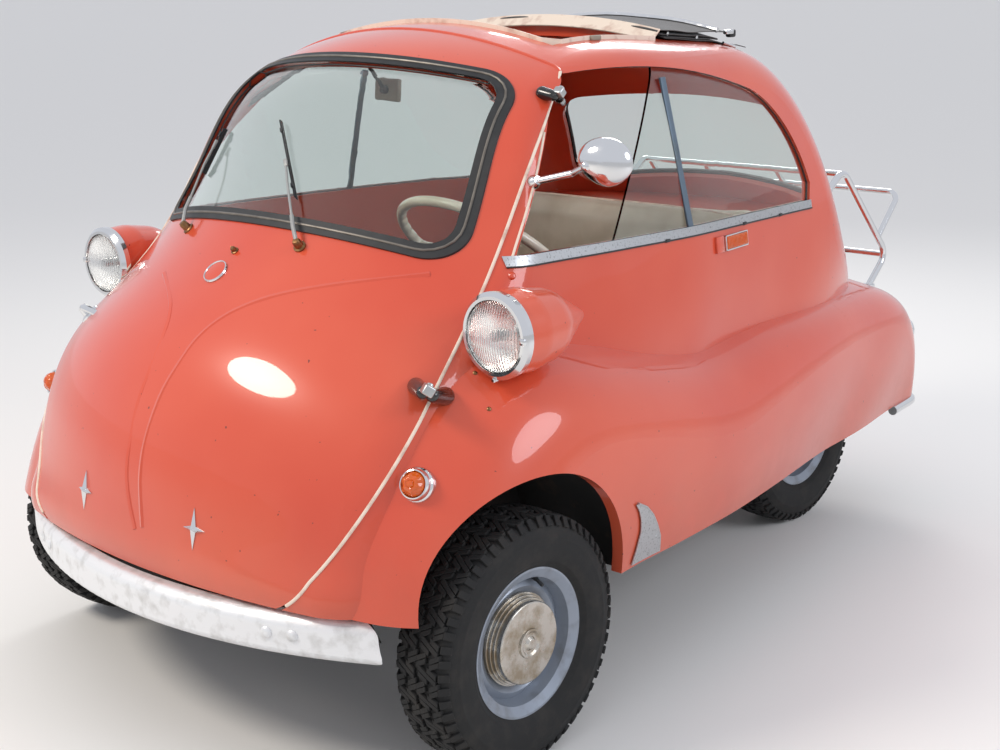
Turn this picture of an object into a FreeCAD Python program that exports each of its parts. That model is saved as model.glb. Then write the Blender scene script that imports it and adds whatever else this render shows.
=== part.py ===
import FreeCAD, Part
import math
import os

V = FreeCAD.Vector

# A bubble car: two-seat microcar whose whole front is the door.
# Frame: +X is the car's left, -Y its front, +Z up; the origin is on the ground, amid its length.
# Sizes are millimetres, angles degrees.

# Driving dimensions
WHEELBASE = 1500.0
FRONT_AXLE_Y = -785.0
REAR_AXLE_Y = FRONT_AXLE_Y + WHEELBASE
FRONT_TRACK = 1200.0
REAR_TRACK = 520.0
TYRE_RADIUS = 245.0
TYRE_WIDTH = 132.0
RIM_RADIUS = 127.0
RIM_FLANGE = 144.0
WALL = 25.0
SILL_Z = 310.0
DOOR_GAP = 7.5
GLASS = 5.0
GLASS_INSET = 8.0
SEAT_GAP = 0.3
RUNNING_GAP = 0.3
PLATE = 2.0
FOLD = 6.0
FLOOR_PLATE = 8.0

# Two skins, each drawn on a fan of planes that hinge on a cross line: the cabin's inside it, the
# hips' below the ground, so that fenders, flanks and tail are one even run.
FAN_Y = -100.0
FAN_Z = 250.0
FAN_BASE = 12.0
HIP_FAN_Z = -300.0
HIP_BASE = 480.0

# Columns: centreline y, centreline z, crown radius, waist half width, waist reach, side radius, corner radius
CABIN = [
    (-1150, 250, 1350, 556, 450, 9000, 130),
    (-1175, 450, 1400, 556, 450, 9000, 130),
    (-1152, 600, 1150, 556, 450, 9000, 130),
    (-1072, 770, 1000, 556, 450, 9000, 130),
    (-946, 889, 900, 556, 450, 9000, 120),
    (-841, 987, 860, 556, 450, 5000, 110),
    (-719, 1131, 860, 556, 450, 2200, 100),
    (-596, 1275, 900, 556, 450, 1680, 95),
    (-431, 1332, 1100, 552, 450, 1500, 95),
    (-121, 1337, 1700, 545, 450, 1560, 110),
    (150, 1318, 1700, 530, 450, 1600, 120),
    (393, 1284, 1400, 518, 450, 1870, 130),
    (560, 1175, 1100, 510, 450, 2200, 140),
    (680, 1010, 950, 505, 450, 3000, 150),
    (790, 830, 900, 500, 450, 2300, 150),
    (890, 600, 900, 460, 450, 1600, 150),
    (940, 250, 1000, 420, 450, 1600, 150),
]
# Columns: fan angle, crown reach, crown radius, waist half width, waist reach, side radius, corner radius
HIPS = [
    (150, 1199, 3000, 690, 1050, 5000, 190),
    (143, 1282, 1800, 693, 1050, 4000, 205),
    (136, 1371, 1200, 694, 1050, 3000, 215),
    (129, 1430, 1000, 693, 1050, 2200, 220),
    (122, 1427, 950, 690, 1020, 1742, 215),
    (114, 1332, 950, 684, 930, 1320, 200),
    (104, 1190, 1050, 672, 850, 1110, 180),
    (90, 1076, 1250, 655, 790, 853, 160),
    (75, 1093, 1350, 628, 800, 900, 150),
    (60, 1184, 1500, 592, 860, 1000, 140),
    (48, 1322, 1700, 552, 930, 1400, 140),
    (38, 1446, 2200, 522, 1000, 1700, 130),
    (30, 1398, 3000, 480, 1130, 2000, 120),
    (24, 1315, 3200, 470, 1100, 2000, 115),
]

# Door seam, seen from a sight point inside the cabin, on a plane that leans back 45 degrees.
SIGHT_REACH = 350.0
SEAM_REACH = 1180.0
SEAM_HALF_WIDTH = 550.0
SEAM_HALF_CLIMB = 650.0
# columns: x, climb at SEAM_REACH of the left half from its top to its foot: ends and middles of arcs
SEAM = [
    (395, 612), (425, 602), (437, 560), (505, 230), (556, -190),
    (548, -350), (490, -570), (447, -650), (360, -690),
]
SEAM_HEAD = 590.0
SEAM_FOOT = -712.0
CUT_NEAR = 980.0
CUT_FAR = 1500.0
SCREEN_NEAR = 1000.0
SCREEN_FAR = 1600.0
REAR_NEAR = 900.0
REAR_FAR = 1500.0
# a block larger than the car, for cutting and splitting
WIDE = 900.0
LONG = 1500.0
TALL = 1600.0

# Side windows, seen from the side: y, z
WINDOW_FRONT_LOW = (-655.0, 930.0)
WINDOW_FRONT_TOP = (-455.0, 1228.0)
WINDOW_FRONT_CORNER = (-436.0, 1243.0)
WINDOW_TOP_FRONT = (-400.0, 1250.0)
WINDOW_TOP_MID = (-60.0, 1243.0)
WINDOW_TOP_REAR = (240.0, 1180.0)
WINDOW_REAR_MID = (372.0, 1085.0)
WINDOW_REAR_LOW = (452.0, 950.0)
WINDOW_LOW_REAR = (440.0, 908.0)
WINDOW_INNER_X = 330.0
# the left front pane is slid back: the opening that it leaves, seen from the side: y, z
SLID_OPEN = [(-700.0, 860.0), (-419.0, 860.0), (-99.0, 1300.0), (-700.0, 1300.0)]

# Windscreen, on planes square to the 45 degree lean: half width, climb
SCREEN_LOW = (425.0, 142.0)
SCREEN_LOW_MID = 103.0
SCREEN_TOP = (380.0, 520.0)
SCREEN_TOP_MID = 482.0
SCREEN_CORNER = 62.0
SEAL_FLANGE = 22.0
SEAL_LIP = 8.0
SEAL_PROUD = 4.0

# Rear window, on planes square to a 45 degree lean the other way
REAR_LOW = (400.0, 160.0)
REAR_LOW_MID = 130.0
REAR_TOP = (360.0, 425.0)
REAR_TOP_MID = 400.0
REAR_CORNER = 70.0

# Panel joints
ROOF_SPLIT_Z = 1262.0
REAR_SPLIT_Y = 532.0
TAIL_SPLIT_Z = 634.0
SUNROOF_HALF = 330.0
SUNROOF_FRONT = -330.0
SUNROOF_REAR = 40.0
STACK_FRONT = 44.0
STACK_REAR = 388.0
STACK_HEIGHT = 46.0
ROOF_INSIDE_Z = 1200.0
# columns: y, z of the folded fabric's top line
STACK_TOP = [(STACK_FRONT, 1346.0), (STACK_REAR - 60.0, 1336.0), (STACK_REAR, 1322.0)]

# Wheel arch
ARCH_Y = -787.0
ARCH_Z = 320.0
ARCH_RADIUS = 254.0
ARCH_INNER_X = 400.0
# in front of the arches the fenders end higher than the sills
FENDER_LIP_Y = -1000.0
FENDER_LIP_Z = 350.0
HOUSE_PLATE = 4.0
HOUSE_RADIUS = 275.0
HOUSE_OUTER_X = 650.0

# Door hinges: pin centres
HINGE_LOW = V(572.0, -958.0, 741.0)
HINGE_HIGH = V(468.0, -478.0, 1213.0)
HINGE_DIR = (HINGE_HIGH - HINGE_LOW).normalize()
HINGE_PIN_RADIUS = 7.0
HINGE_BARREL_RADIUS = 13.0
HINGE_BARREL = 34.0
HINGE_STRAP = 9.0
# columns: pin centre, run to the body's skin, run to the door's skin
HINGES = [
    (HINGE_LOW, V(-33, 72, -65), V(-99, 3, -11)),
    (HINGE_HIGH, V(-18, 33, -47), V(-64, -29, 6)),
]

# Steering
KINGPIN_X = 545.0
KINGPIN_RADIUS = 12.0
STEER_TAPER = 15.0
STEER_CLIMB = 110.0
KINGPIN_HALF = 62.0
STUB_RADIUS = 14.0
WHEEL_CENTRE = V(190.0, -390.0, 868.0)
COLUMN_FOOT = V(190.0, -830.0, 348.0)
COLUMN_RADIUS = 17.0
STEERING_RIM_RADIUS = 195.0
STEERING_RIM_TUBE = 11.0
COLUMN_FOOT_GAP = 12.0
BRACKET_RADIUS = 12.0
BOSS_RADIUS = 32.0
BOSS_LENGTH = 30.0
SPOKE_RADIUS = 8.0
DASH_HALF = 330.0
DASH_REAR = -690.0
DASH_Z = 880.0
DASH_DEPTH = 20.0
BRACKET_START = V(WHEEL_CENTRE.x, DASH_REAR - 30.0, DASH_Z + 1.0)
BRACKET_END = V(WHEEL_CENTRE.x, -532.0, 700.0)

# Wheels
RIM_HALF = TYRE_WIDTH / 2.0 - 14.0
FLANGE_LIP = 4.0
BEAD_STEP = 9.0
RIM_WALL = 4.0
RIM_WELL = 12.0
DISC_FACE = 18.0
DISC_RISE = 8.0
DISC_RIM = 102.0
DISC_PLATE = 10.0
CAP_RADIUS = 90.0
CAP_STEP = 7.0
CAP_STEPS = 3
CAP_DEPTH = 34.0
CAP_BEND = 4.0
CAP_STEP_BEND = 1.5
# columns: past the cap's flat face, radius, bend radius of the ringed boss
CAP_BOSS = [(0, 29, 0), (4, 28, 1), (4, 24, 0), (1, 20, 0), (1, 14, 0), (6, 9, 2), (6, 0, 0)]
HUB_RADIUS = 40.0
HUB_FACE = 12.0
SHOULDER = 18.0
TYRE_BULGE = 45.0

# Axles and frame
SHAFT_RADIUS = 16.0
STUB_PAST_HUB = 16.0
HOUSING_HALF = 165.0
HOUSING_RADIUS = 38.0
CASE_HALF = 40.0
CASE_FRONT = 480.0
BEAM_RADIUS = 24.0
FORK = 14.0
FORK_HALF = 18.0
FORK_REACH = 40.0
FRAME_X = 250.0
FRAME_TUBE = 24.0
FRAME_Z = SILL_Z - FLOOR_PLATE - SEAT_GAP - FRAME_TUBE
FRAME_FRONT = -1120.0
FRAME_REAR = 440.0
SPRING_X = 140.0
SPRING_HALF = 20.0
SPRING_PAD = 26.0
SPRING_FRONT_Y = 385.0
SPRING_CLAMP_Y = 455.0
CLAMP_MIDDLE = (SPRING_FRONT_Y + SPRING_CLAMP_Y) / 2.0
FRAME_CROSSES = (-1060.0, -400.0, 60.0, CLAMP_MIDDLE)
SPRING_DROP = 10.0
SPRING_FRONT_Z = FRAME_Z - FRAME_TUBE - SPRING_DROP
SPRING_REAR_Z = TYRE_RADIUS - HOUSING_RADIUS - SPRING_DROP
LEAF = 8.0
LEAF_STEPS = (0.0, 110.0, 185.0, 260.0)

# Inside
BULKHEAD_Y = 345.0
SHELF_Z = 838.0
# columns: half width, y of the floor's edge
FLOOR_EDGE = [
    (360, -1118), (395, -1060), (395, -500), (645, -490), (624, -200), (584, 150), (548, BULKHEAD_Y + FOLD),
]
BENCH_HALF = 445.0
CUSHION_FRONT = -210.0
CUSHION_REAR = 300.0
CUSHION_Z = 540.0
CUSHION_DEPTH = 120.0
BACK_DEPTH = 106.0
BACK_TOP = 930.0
PAD_CORNER = 30.0
BASE_INSET = 50.0
ENGINE_LOW = (-490.0, 360.0, FRAME_Z + FRAME_TUBE + SEAT_GAP)
ENGINE_HIGH = (-335.0, 640.0, 580.0)
EXHAUST_X = -400.0
EXHAUST_Z = 300.0
PIPE_RADIUS = 15.0
SILENCER_Y = 1005.0
SILENCER_HALF = 180.0
SILENCER_RADIUS = 42.0

# Bumpers, rack and lamps
BUMPER_Y = -1212.0
BUMPER_ARC = 1100.0
BUMPER_SPREAD = 30.1
BUMPER_PLATE = 4.0
BUMPER_TOP = 32.0
BUMPER_FLANGE = 36.0
# columns: x, y of the flat plate at the left end, under the fender's lip
BUMPER_END = [(400.0, -1200.0), (425.0, -1098.0), (480.0, -1052.0), (560.0, -1044.0), (580.0, -1200.0)]
IRON_HALF = 12.0
IRON_Z = FRAME_Z + 12.0
REAR_BAR = 12.0
REAR_BAR_BEND = 80.0
# columns: x, y of the left rear bar's corners
REAR_BAR_LINE = [(170.0, 1100.0), (385.0, 1088.0), (468.0, 1030.0), (486.0, 880.0)]
RACK_X = 320.0
RACK_TUBE = 9.0
RACK_BEND = 36.0
RACK_FOOT = 6.0
RACK_SLAT_X = 115.0
RACK_STOP_SHARE = 0.2
RACK_STOP_REACH = 112.0
# columns: y, z of the corners of a side frame
RACK_SIDE = [(768.0, 866.0), (858.0, 930.0), (1112.0, 672.0), (1020.0, 594.0)]
LAMP = V(595.0, -803.0, 820.5)
LAMP_RADIUS = 80.0
LAMP_RIM = 12.0
LENS_RADIUS = LAMP_RADIUS - 14.0
POD_LENGTH = 235.0
TURN_LAMP = V(548.0, -972.0, 570.0)
TURN_IN = V(-0.35, 0.93, -0.1).normalize()
TURN_RADIUS = 27.0
TURN_LENS = 22.0
TURN_LENGTH = 60.0
TAIL_LAMP = V(390.0, 1098.0, 470.0)
MARKER_LOW = (480.0, -28.0, 851.0)
MARKER_HIGH = (600.0, 108.0, 888.0)
MARKER_PROUD = 14.0
MARKER_CORNER = 6.0
GUARD_FRONT = -507.0
GUARD_REAR = -402.0
GUARD_LOW = 318.0
GUARD_HIGH = 447.0
MIRROR_ROOT = V(480.0, -577.0, 1058.0)
MIRROR_HEAD = V(610.0, -551.0, 1090.0)
MIRROR_ARM = 6.0
MIRROR_LOOK = V(0.1, 1.0, 0.0).normalize()
MIRROR_RADIUS = 44.0


def climb(y, z):
    return (y + z) / math.sqrt(2.0)


def reach(y, z):
    return (z - y) / math.sqrt(2.0)


def lean_point(x, up, out):
    # a point from half width, climb and reach on the forward lean
    return V(x, (up - out) / math.sqrt(2.0), (up + out) / math.sqrt(2.0))


def rear_point(x, up, out):
    # the same on the lean towards the tail
    return V(x, (out - up) / math.sqrt(2.0), (up + out) / math.sqrt(2.0))


def arc(a, b, c):
    return Part.Arc(a, b, c).toShape()


def line(a, b):
    return Part.makeLine(a, b)


def prism(edges, direction):
    return Part.Face(Part.Wire(edges)).extrude(direction)


def mirrored(shape):
    return shape.mirror(V(0, 0, 0), V(1, 0, 0))


def both_sides(shape):
    return Part.makeCompound([shape, mirrored(shape)])


def block(low, high):
    return Part.makeBox(high[0] - low[0], high[1] - low[1], high[2] - low[2], V(*low))


def padded_block(low, high, radius):
    solid = block(low, high)
    return solid.makeFillet(radius, solid.Edges)


def rod(start, end, radius):
    run = end - start
    return Part.makeCylinder(radius, run.Length, start, run)


def bend_at(before, corner, after, bend):
    # start, middle and end of the arc that rounds one corner
    back = (before - corner).normalize()
    on = (after - corner).normalize()
    half_turn = (math.pi - back.getAngle(on)) / 2.0
    trim = bend * math.tan(half_turn)
    middle = (back + on).normalize()
    centre = corner + middle * (bend / math.cos(half_turn))
    return corner + back * trim, centre - middle * bend, corner + on * trim


def tube_path(points, bend, radius):
    # a bent tube: straight runs joined by arcs of one bend radius
    edges = []
    last = points[0]
    for before, corner, after in zip(points, points[1:], points[2:]):
        start, middle, end = bend_at(before, corner, after, bend)
        edges.append(line(last, start))
        edges.append(arc(start, middle, end))
        last = end
    edges.append(line(last, points[-1]))
    path = Part.Wire(edges)
    ring = Part.Wire([Part.makeCircle(radius, points[0], points[1] - points[0])])
    return path.makePipeShell([ring], True, False)


def rounded_outline(corners):
    # a closed outline through corners, each with its own bend radius, 0 for a sharp one
    ends = []
    for index, (corner, bend) in enumerate(corners):
        before = corners[index - 1][0]
        after = corners[(index + 1) % len(corners)][0]
        if bend:
            ends.append(bend_at(before, corner, after, bend))
        else:
            ends.append((corner, None, corner))
    edges = []
    for index, (start, middle, end) in enumerate(ends):
        if middle:
            edges.append(arc(start, middle, end))
        edges.append(line(end, ends[(index + 1) % len(ends)][0]))
    return Part.Wire(edges)


def slab(points, low_x, high_x):
    # a solid of one side outline, given as y and z, between two widths
    outline = [V(low_x, y, z) for y, z in points]
    return Part.Face(Part.makePolygon(outline + [outline[0]])).extrude(V(high_x - low_x, 0, 0))


def lathe(profile, centre, hand):
    # columns: along the axle, radius, bend radius; turned about an axle along X
    corners = [
        (V(centre.x + along * hand, centre.y, centre.z + radius), bend) for along, radius, bend in profile]
    return Part.Face(rounded_outline(corners)).revolve(centre, V(1, 0, 0), 360)


def cabin_section(row, inset):
    y, z = row[:2]
    run = V(0, y - FAN_Y, z - FAN_Z)
    reach_out = run.Length
    return section(V(0, FAN_Y, FAN_Z), run.normalize(), FAN_BASE, (reach_out,) + row[2:], inset)


def hip_section(row, inset):
    turn = math.radians(row[0])
    return section(V(0, FAN_Y, HIP_FAN_Z), V(0, math.cos(turn), math.sin(turn)), HIP_BASE, row[1:], inset)


def section(origin, out, base_reach, shape, inset):
    # one closed section: base line, then side arc, corner arc and crown arc, and back down
    top, crown, waist, waist_reach, side, corner = shape
    top -= inset
    crown -= inset
    waist -= inset
    side -= inset
    corner -= inset
    crown_centre = (0.0, top - crown)
    side_centre = (waist - side, waist_reach)
    run_x = side_centre[0] - crown_centre[0]
    run_r = side_centre[1] - crown_centre[1]
    apart = math.hypot(run_x, run_r)
    to_crown = crown - corner
    to_side = side - corner
    along = (to_crown ** 2 - to_side ** 2 + apart ** 2) / (2.0 * apart)
    across = math.sqrt(to_crown ** 2 - along ** 2)
    across_x = -run_r / apart
    across_r = run_x / apart
    if across_x < 0:
        across_x = -across_x
        across_r = -across_r
    centre_x = crown_centre[0] + along * run_x / apart + across * across_x
    centre_r = crown_centre[1] + along * run_r / apart + across * across_r
    crown_x = (centre_x - crown_centre[0]) / to_crown
    crown_r = (centre_r - crown_centre[1]) / to_crown
    side_x = (centre_x - side_centre[0]) / to_side
    side_r = (centre_r - side_centre[1]) / to_side
    mid_x = crown_x + side_x
    mid_r = crown_r + side_r
    mid = math.hypot(mid_x, mid_r)
    crown_end = (centre_x + corner * crown_x, centre_r + corner * crown_r)
    corner_mid = (centre_x + corner * mid_x / mid, centre_r + corner * mid_r / mid)
    side_end = (centre_x + corner * side_x, centre_r + corner * side_r)
    side_mid_r = (base_reach + side_end[1]) / 2.0
    side_mid = (side_centre[0] + math.sqrt(side ** 2 - (side_mid_r - waist_reach) ** 2), side_mid_r)
    base = (side_centre[0] + math.sqrt(side ** 2 - (base_reach - waist_reach) ** 2), base_reach)

    def at(point, hand):
        return origin + V(hand * point[0], 0, 0) + out * point[1]

    return Part.Wire([
        line(at(base, -1), at(base, 1)),
        arc(at(base, 1), at(side_mid, 1), at(side_end, 1)),
        arc(at(side_end, 1), at(corner_mid, 1), at(crown_end, 1)),
        arc(at(crown_end, 1), at((0.0, top), 1), at(crown_end, -1)),
        arc(at(crown_end, -1), at(corner_mid, -1), at(side_end, -1)),
        arc(at(side_end, -1), at(side_mid, -1), at(base, -1)),
    ])


BELOW = block((-LONG, -LONG, HIP_FAN_Z), (LONG, LONG, SILL_Z))


def cabin_skin(inset):
    return Part.makeLoft([cabin_section(row, inset) for row in CABIN], True, False, False).cut(BELOW)


def hip_skin(inset):
    return Part.makeLoft([hip_section(row, inset) for row in HIPS], True, False, False).cut(BELOW)


def seam_wire(out, grow):
    # the seam on the plane at this reach, grown from the sight point, then widened by a gap
    scale = (out - SIGHT_REACH) / (SEAM_REACH - SIGHT_REACH)
    wide = scale * (1.0 + grow / SEAM_HALF_WIDTH)
    tall = scale * (1.0 + grow / SEAM_HALF_CLIMB)

    right = [(-x, up) for x, up in reversed(SEAM)]
    ring = SEAM + [(0.0, SEAM_FOOT)] + right + [(0.0, SEAM_HEAD), SEAM[0]]
    points = [lean_point(x * wide, up * tall, out) for x, up in ring]
    return Part.Wire([arc(*points[start:start + 3]) for start in range(0, len(points) - 2, 2)])


def seam_cutter(grow):
    return Part.makeLoft([seam_wire(CUT_NEAR, grow), seam_wire(CUT_FAR, grow)], True, True, False)


def pane_wire(place, low, low_mid, top, top_mid, radius, grow, out):
    # four sided pane with bowed top and bottom edges and round corners
    corners = [
        place(-low[0], low[1], out), place(low[0], low[1], out),
        place(top[0], top[1], out), place(-top[0], top[1], out),
    ]
    sharp = Part.Wire([
        arc(corners[0], place(0, low_mid, out), corners[1]),
        line(corners[1], corners[2]),
        arc(corners[2], place(0, top_mid, out), corners[3]),
        line(corners[3], corners[0]),
    ])
    inner = sharp.makeOffset2D(-radius, 2)
    return inner.makeOffset2D(radius + grow, 0)


def pane_prism(place, shape, grow, near, far):
    wire = pane_wire(place, *shape, grow, near)
    run = place(0, 0, far) - place(0, 0, near)
    return Part.Face(wire).extrude(run)


SCREEN = (SCREEN_LOW, SCREEN_LOW_MID, SCREEN_TOP, SCREEN_TOP_MID, SCREEN_CORNER)
REAR = (REAR_LOW, REAR_LOW_MID, REAR_TOP, REAR_TOP_MID, REAR_CORNER)


def window_prism():
    def at(point):
        return V(WINDOW_INNER_X, point[0], point[1])

    return prism([
        line(at(WINDOW_LOW_REAR), at(WINDOW_FRONT_LOW)),
        line(at(WINDOW_FRONT_LOW), at(WINDOW_FRONT_TOP)),
        arc(at(WINDOW_FRONT_TOP), at(WINDOW_FRONT_CORNER), at(WINDOW_TOP_FRONT)),
        arc(at(WINDOW_TOP_FRONT), at(WINDOW_TOP_MID), at(WINDOW_TOP_REAR)),
        arc(at(WINDOW_TOP_REAR), at(WINDOW_REAR_MID), at(WINDOW_REAR_LOW)),
        line(at(WINDOW_REAR_LOW), at(WINDOW_LOW_REAR)),
    ], V(WIDE - WINDOW_INNER_X, 0, 0))


def pane(outer, inner, cutter):
    return outer.common(cutter).cut(inner)


parts = {}

# Body shell
cabin = cabin_skin(0.0)
cabin_inner = cabin_skin(WALL)
hips = hip_skin(0.0)
hips_inner = hip_skin(WALL)
outer = cabin.fuse(hips)
inner = cabin_inner.fuse(hips_inner)
shell = outer.cut(inner)

# Wheel arches
arch = Part.makeCylinder(ARCH_RADIUS, WIDE - ARCH_INNER_X, V(ARCH_INNER_X, ARCH_Y, ARCH_Z), V(1, 0, 0))
shell = shell.cut(arch).cut(mirrored(arch))
shell = shell.cut(block((-WIDE, -LONG, 0), (WIDE, FENDER_LIP_Y, FENDER_LIP_Z)))

# Door, cut on the seam with a gap all round
door = shell.common(seam_cutter(-DOOR_GAP / 2.0))
body = shell.cut(seam_cutter(DOOR_GAP / 2.0))
screen_hole = pane_prism(lean_point, SCREEN, 0.0, SCREEN_NEAR, SCREEN_FAR)
door = door.cut(screen_hole)
parts["door_shell"] = door

# Windscreen glass and its rubber seal
glass_outer = cabin_skin(GLASS_INSET)
glass_inner = cabin_skin(GLASS_INSET + GLASS)
parts["windscreen_glass"] = pane(
    glass_outer, glass_inner, pane_prism(lean_point, SCREEN, -SEAT_GAP, SCREEN_NEAR, SCREEN_FAR))
seal_outer = cabin_skin(-SEAL_PROUD)
seal_band = pane_prism(lean_point, SCREEN, SEAL_FLANGE, SCREEN_NEAR, SCREEN_FAR).cut(
    pane_prism(lean_point, SCREEN, -SEAL_LIP, SCREEN_NEAR, SCREEN_FAR))
parts["windscreen_seal"] = seal_outer.common(seal_band).cut(cabin)

# Windows and roof opening
window = window_prism()
body = body.cut(window).cut(mirrored(window))
body = body.cut(pane_prism(rear_point, REAR, 0.0, REAR_NEAR, REAR_FAR))
body = body.cut(block((-SUNROOF_HALF, SUNROOF_FRONT, ROOF_INSIDE_Z), (SUNROOF_HALF, SUNROOF_REAR, TALL)))
panes = pane(glass_outer, glass_inner, window).cut(seam_cutter(DOOR_GAP / 2.0))
parts["side_glass"] = Part.makeCompound([panes.cut(slab(SLID_OPEN, WINDOW_INNER_X, WIDE)), mirrored(panes)])
parts["rear_glass"] = pane(
    glass_outer, glass_inner, pane_prism(rear_point, REAR, -SEAT_GAP, REAR_NEAR, REAR_FAR))

# The body splits where its pressings meet
roof_zone = block((-WIDE, -LONG, ROOF_SPLIT_Z), (WIDE, LONG, TALL))
rear_zone = block((-WIDE, REAR_SPLIT_Y, TAIL_SPLIT_Z), (WIDE, LONG, ROOF_SPLIT_Z))
tail_zone = block((-WIDE, REAR_SPLIT_Y, 0), (WIDE, LONG, TAIL_SPLIT_Z))
left_zone = block((0, -LONG, 0), (WIDE, REAR_SPLIT_Y, ROOF_SPLIT_Z))
right_zone = block((-WIDE, -LONG, 0), (0, REAR_SPLIT_Y, ROOF_SPLIT_Z))
parts["roof_panel"] = body.common(roof_zone)
parts["rear_panel"] = body.common(rear_zone)
parts["tail_panel"] = body.common(tail_zone)
parts["side_left"] = body.common(left_zone)
parts["side_right"] = body.common(right_zone)


# Wheels
def rim_profile(bore):
    # columns: along the axle from the wheel's middle, radius
    lip = RIM_HALF - FLANGE_LIP
    bead = RIM_HALF - BEAD_STEP
    return [
        (RIM_HALF, RIM_FLANGE), (RIM_HALF, RIM_FLANGE - RIM_WALL),
        (bead, RIM_RADIUS - RIM_WALL), (DISC_FACE, RIM_RADIUS - RIM_WELL),
        (DISC_FACE + DISC_RISE, DISC_RIM), (DISC_FACE, CAP_RADIUS), (DISC_FACE, bore),
        (-HUB_FACE, bore), (-HUB_FACE, HUB_RADIUS), (DISC_FACE - DISC_PLATE, HUB_RADIUS),
        (DISC_FACE - DISC_PLATE, CAP_RADIUS),
        (-bead, RIM_RADIUS - RIM_WALL), (-RIM_HALF, RIM_FLANGE - RIM_WALL), (-RIM_HALF, RIM_FLANGE),
        (-lip, RIM_FLANGE), (-bead, RIM_RADIUS), (bead, RIM_RADIUS), (lip, RIM_FLANGE),
    ]


def tyre_profile():
    # columns: along the axle from the wheel's middle, radius, bend radius of the corner
    bead = RIM_HALF - BEAD_STEP - SEAT_GAP
    lip = RIM_HALF - FLANGE_LIP - SEAT_GAP
    half = TYRE_WIDTH / 2.0
    wall = [
        (bead, RIM_RADIUS + SEAT_GAP, 0),
        (lip, RIM_FLANGE, 0),
        (half - SHOULDER / 3.0, RIM_FLANGE + SHOULDER / 2.0, SHOULDER / 2.0),
        (half, (TYRE_RADIUS + RIM_RADIUS) / 2.0, TYRE_BULGE),
        (half - SHOULDER / 2.0, TYRE_RADIUS, SHOULDER),
    ]
    far = [(-along, radius, bend) for along, radius, bend in reversed(wall)]
    return wall + far


def cap_profile():
    # columns: along the axle, radius, bend radius; stepped rings up to a flat face with a ringed boss
    profile = [(DISC_FACE, 0, 0), (DISC_FACE, CAP_RADIUS, 0)]
    for step in range(CAP_STEPS):
        along = DISC_FACE + (step + 1) * CAP_STEP
        radius = CAP_RADIUS - step * CAP_STEP / 2.0
        profile += [(along, radius, CAP_STEP_BEND), (along, radius - CAP_STEP / 2.0, 0)]
    face = DISC_FACE + CAP_DEPTH
    profile.append((face, radius - CAP_STEP / 2.0, CAP_BEND))
    return profile + [(face + past, radius, bend) for past, radius, bend in CAP_BOSS]


def rim(hub, hand, bore):
    return lathe([point + (0,) for point in rim_profile(bore)], hub, hand)


def front_wheel(hand, side):
    hub = V(hand * FRONT_TRACK / 2.0, FRONT_AXLE_Y, TYRE_RADIUS)
    parts["tyre_front_" + side] = lathe(tyre_profile(), hub, hand)
    parts["rim_front_" + side] = rim(hub, hand, STUB_RADIUS + RUNNING_GAP)
    parts["hub_cap_front_" + side] = lathe(cap_profile(), hub, hand)


front_wheel(1, "left")
front_wheel(-1, "right")
rear_hub = V(REAR_TRACK / 2.0, REAR_AXLE_Y, TYRE_RADIUS)
parts["rear_tyres"] = both_sides(lathe(tyre_profile(), rear_hub, 1))
parts["rear_rims"] = both_sides(rim(rear_hub, 1, SHAFT_RADIUS + SEAT_GAP))


# Rear axle: a shaft in a housing, driven through a chain case, on two leaf packs
def across(y, z, half, radius):
    return rod(V(-half, y, z), V(half, y, z), radius)


parts["rear_axle_shaft"] = across(REAR_AXLE_Y, TYRE_RADIUS, REAR_TRACK / 2.0 + STUB_PAST_HUB, SHAFT_RADIUS)


def rear_axle_housing():
    tube = across(REAR_AXLE_Y, TYRE_RADIUS, HOUSING_HALF, HOUSING_RADIUS)
    case = block(
        (-CASE_HALF, CASE_FRONT, TYRE_RADIUS - CASE_HALF),
        (CASE_HALF, REAR_AXLE_Y + HOUSING_RADIUS + WALL, TYRE_RADIUS + CASE_HALF + WALL))
    pads = []
    for hand in (1, -1):
        x = hand * SPRING_X
        pads.append(block(
            (x - SPRING_HALF, REAR_AXLE_Y - SPRING_PAD, SPRING_REAR_Z),
            (x + SPRING_HALF, REAR_AXLE_Y + SPRING_PAD, TYRE_RADIUS)))
    bore = across(REAR_AXLE_Y, TYRE_RADIUS, REAR_TRACK, SHAFT_RADIUS + RUNNING_GAP)
    return tube.fuse([case] + pads).cut(bore)


parts["rear_axle_housing"] = rear_axle_housing()


def leaf_pack():
    # each leaf ends further forward than the one above it
    rear = REAR_AXLE_Y + SPRING_PAD
    knee = REAR_AXLE_Y - SPRING_PAD
    slope = (SPRING_FRONT_Z - SPRING_REAR_Z) / (knee - SPRING_CLAMP_Y)
    leaves = []
    for number, step in enumerate(LEAF_STEPS):
        end = rear - step
        drop = SEAT_GAP + number * LEAF
        top = [(SPRING_FRONT_Y, SPRING_FRONT_Z - drop), (SPRING_CLAMP_Y, SPRING_FRONT_Z - drop)]
        if end > knee:
            top += [(knee, SPRING_REAR_Z - drop), (end, SPRING_REAR_Z - drop)]
        else:
            top += [(end, SPRING_FRONT_Z - drop - slope * (end - SPRING_CLAMP_Y))]
        bottom = [(y, z - LEAF) for y, z in reversed(top)]
        leaves.append(slab(top + bottom, SPRING_X - SPRING_HALF, SPRING_X + SPRING_HALF))
    return leaves[0].fuse(leaves[1:]).removeSplitter()


parts["leaf_springs"] = both_sides(leaf_pack())


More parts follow.
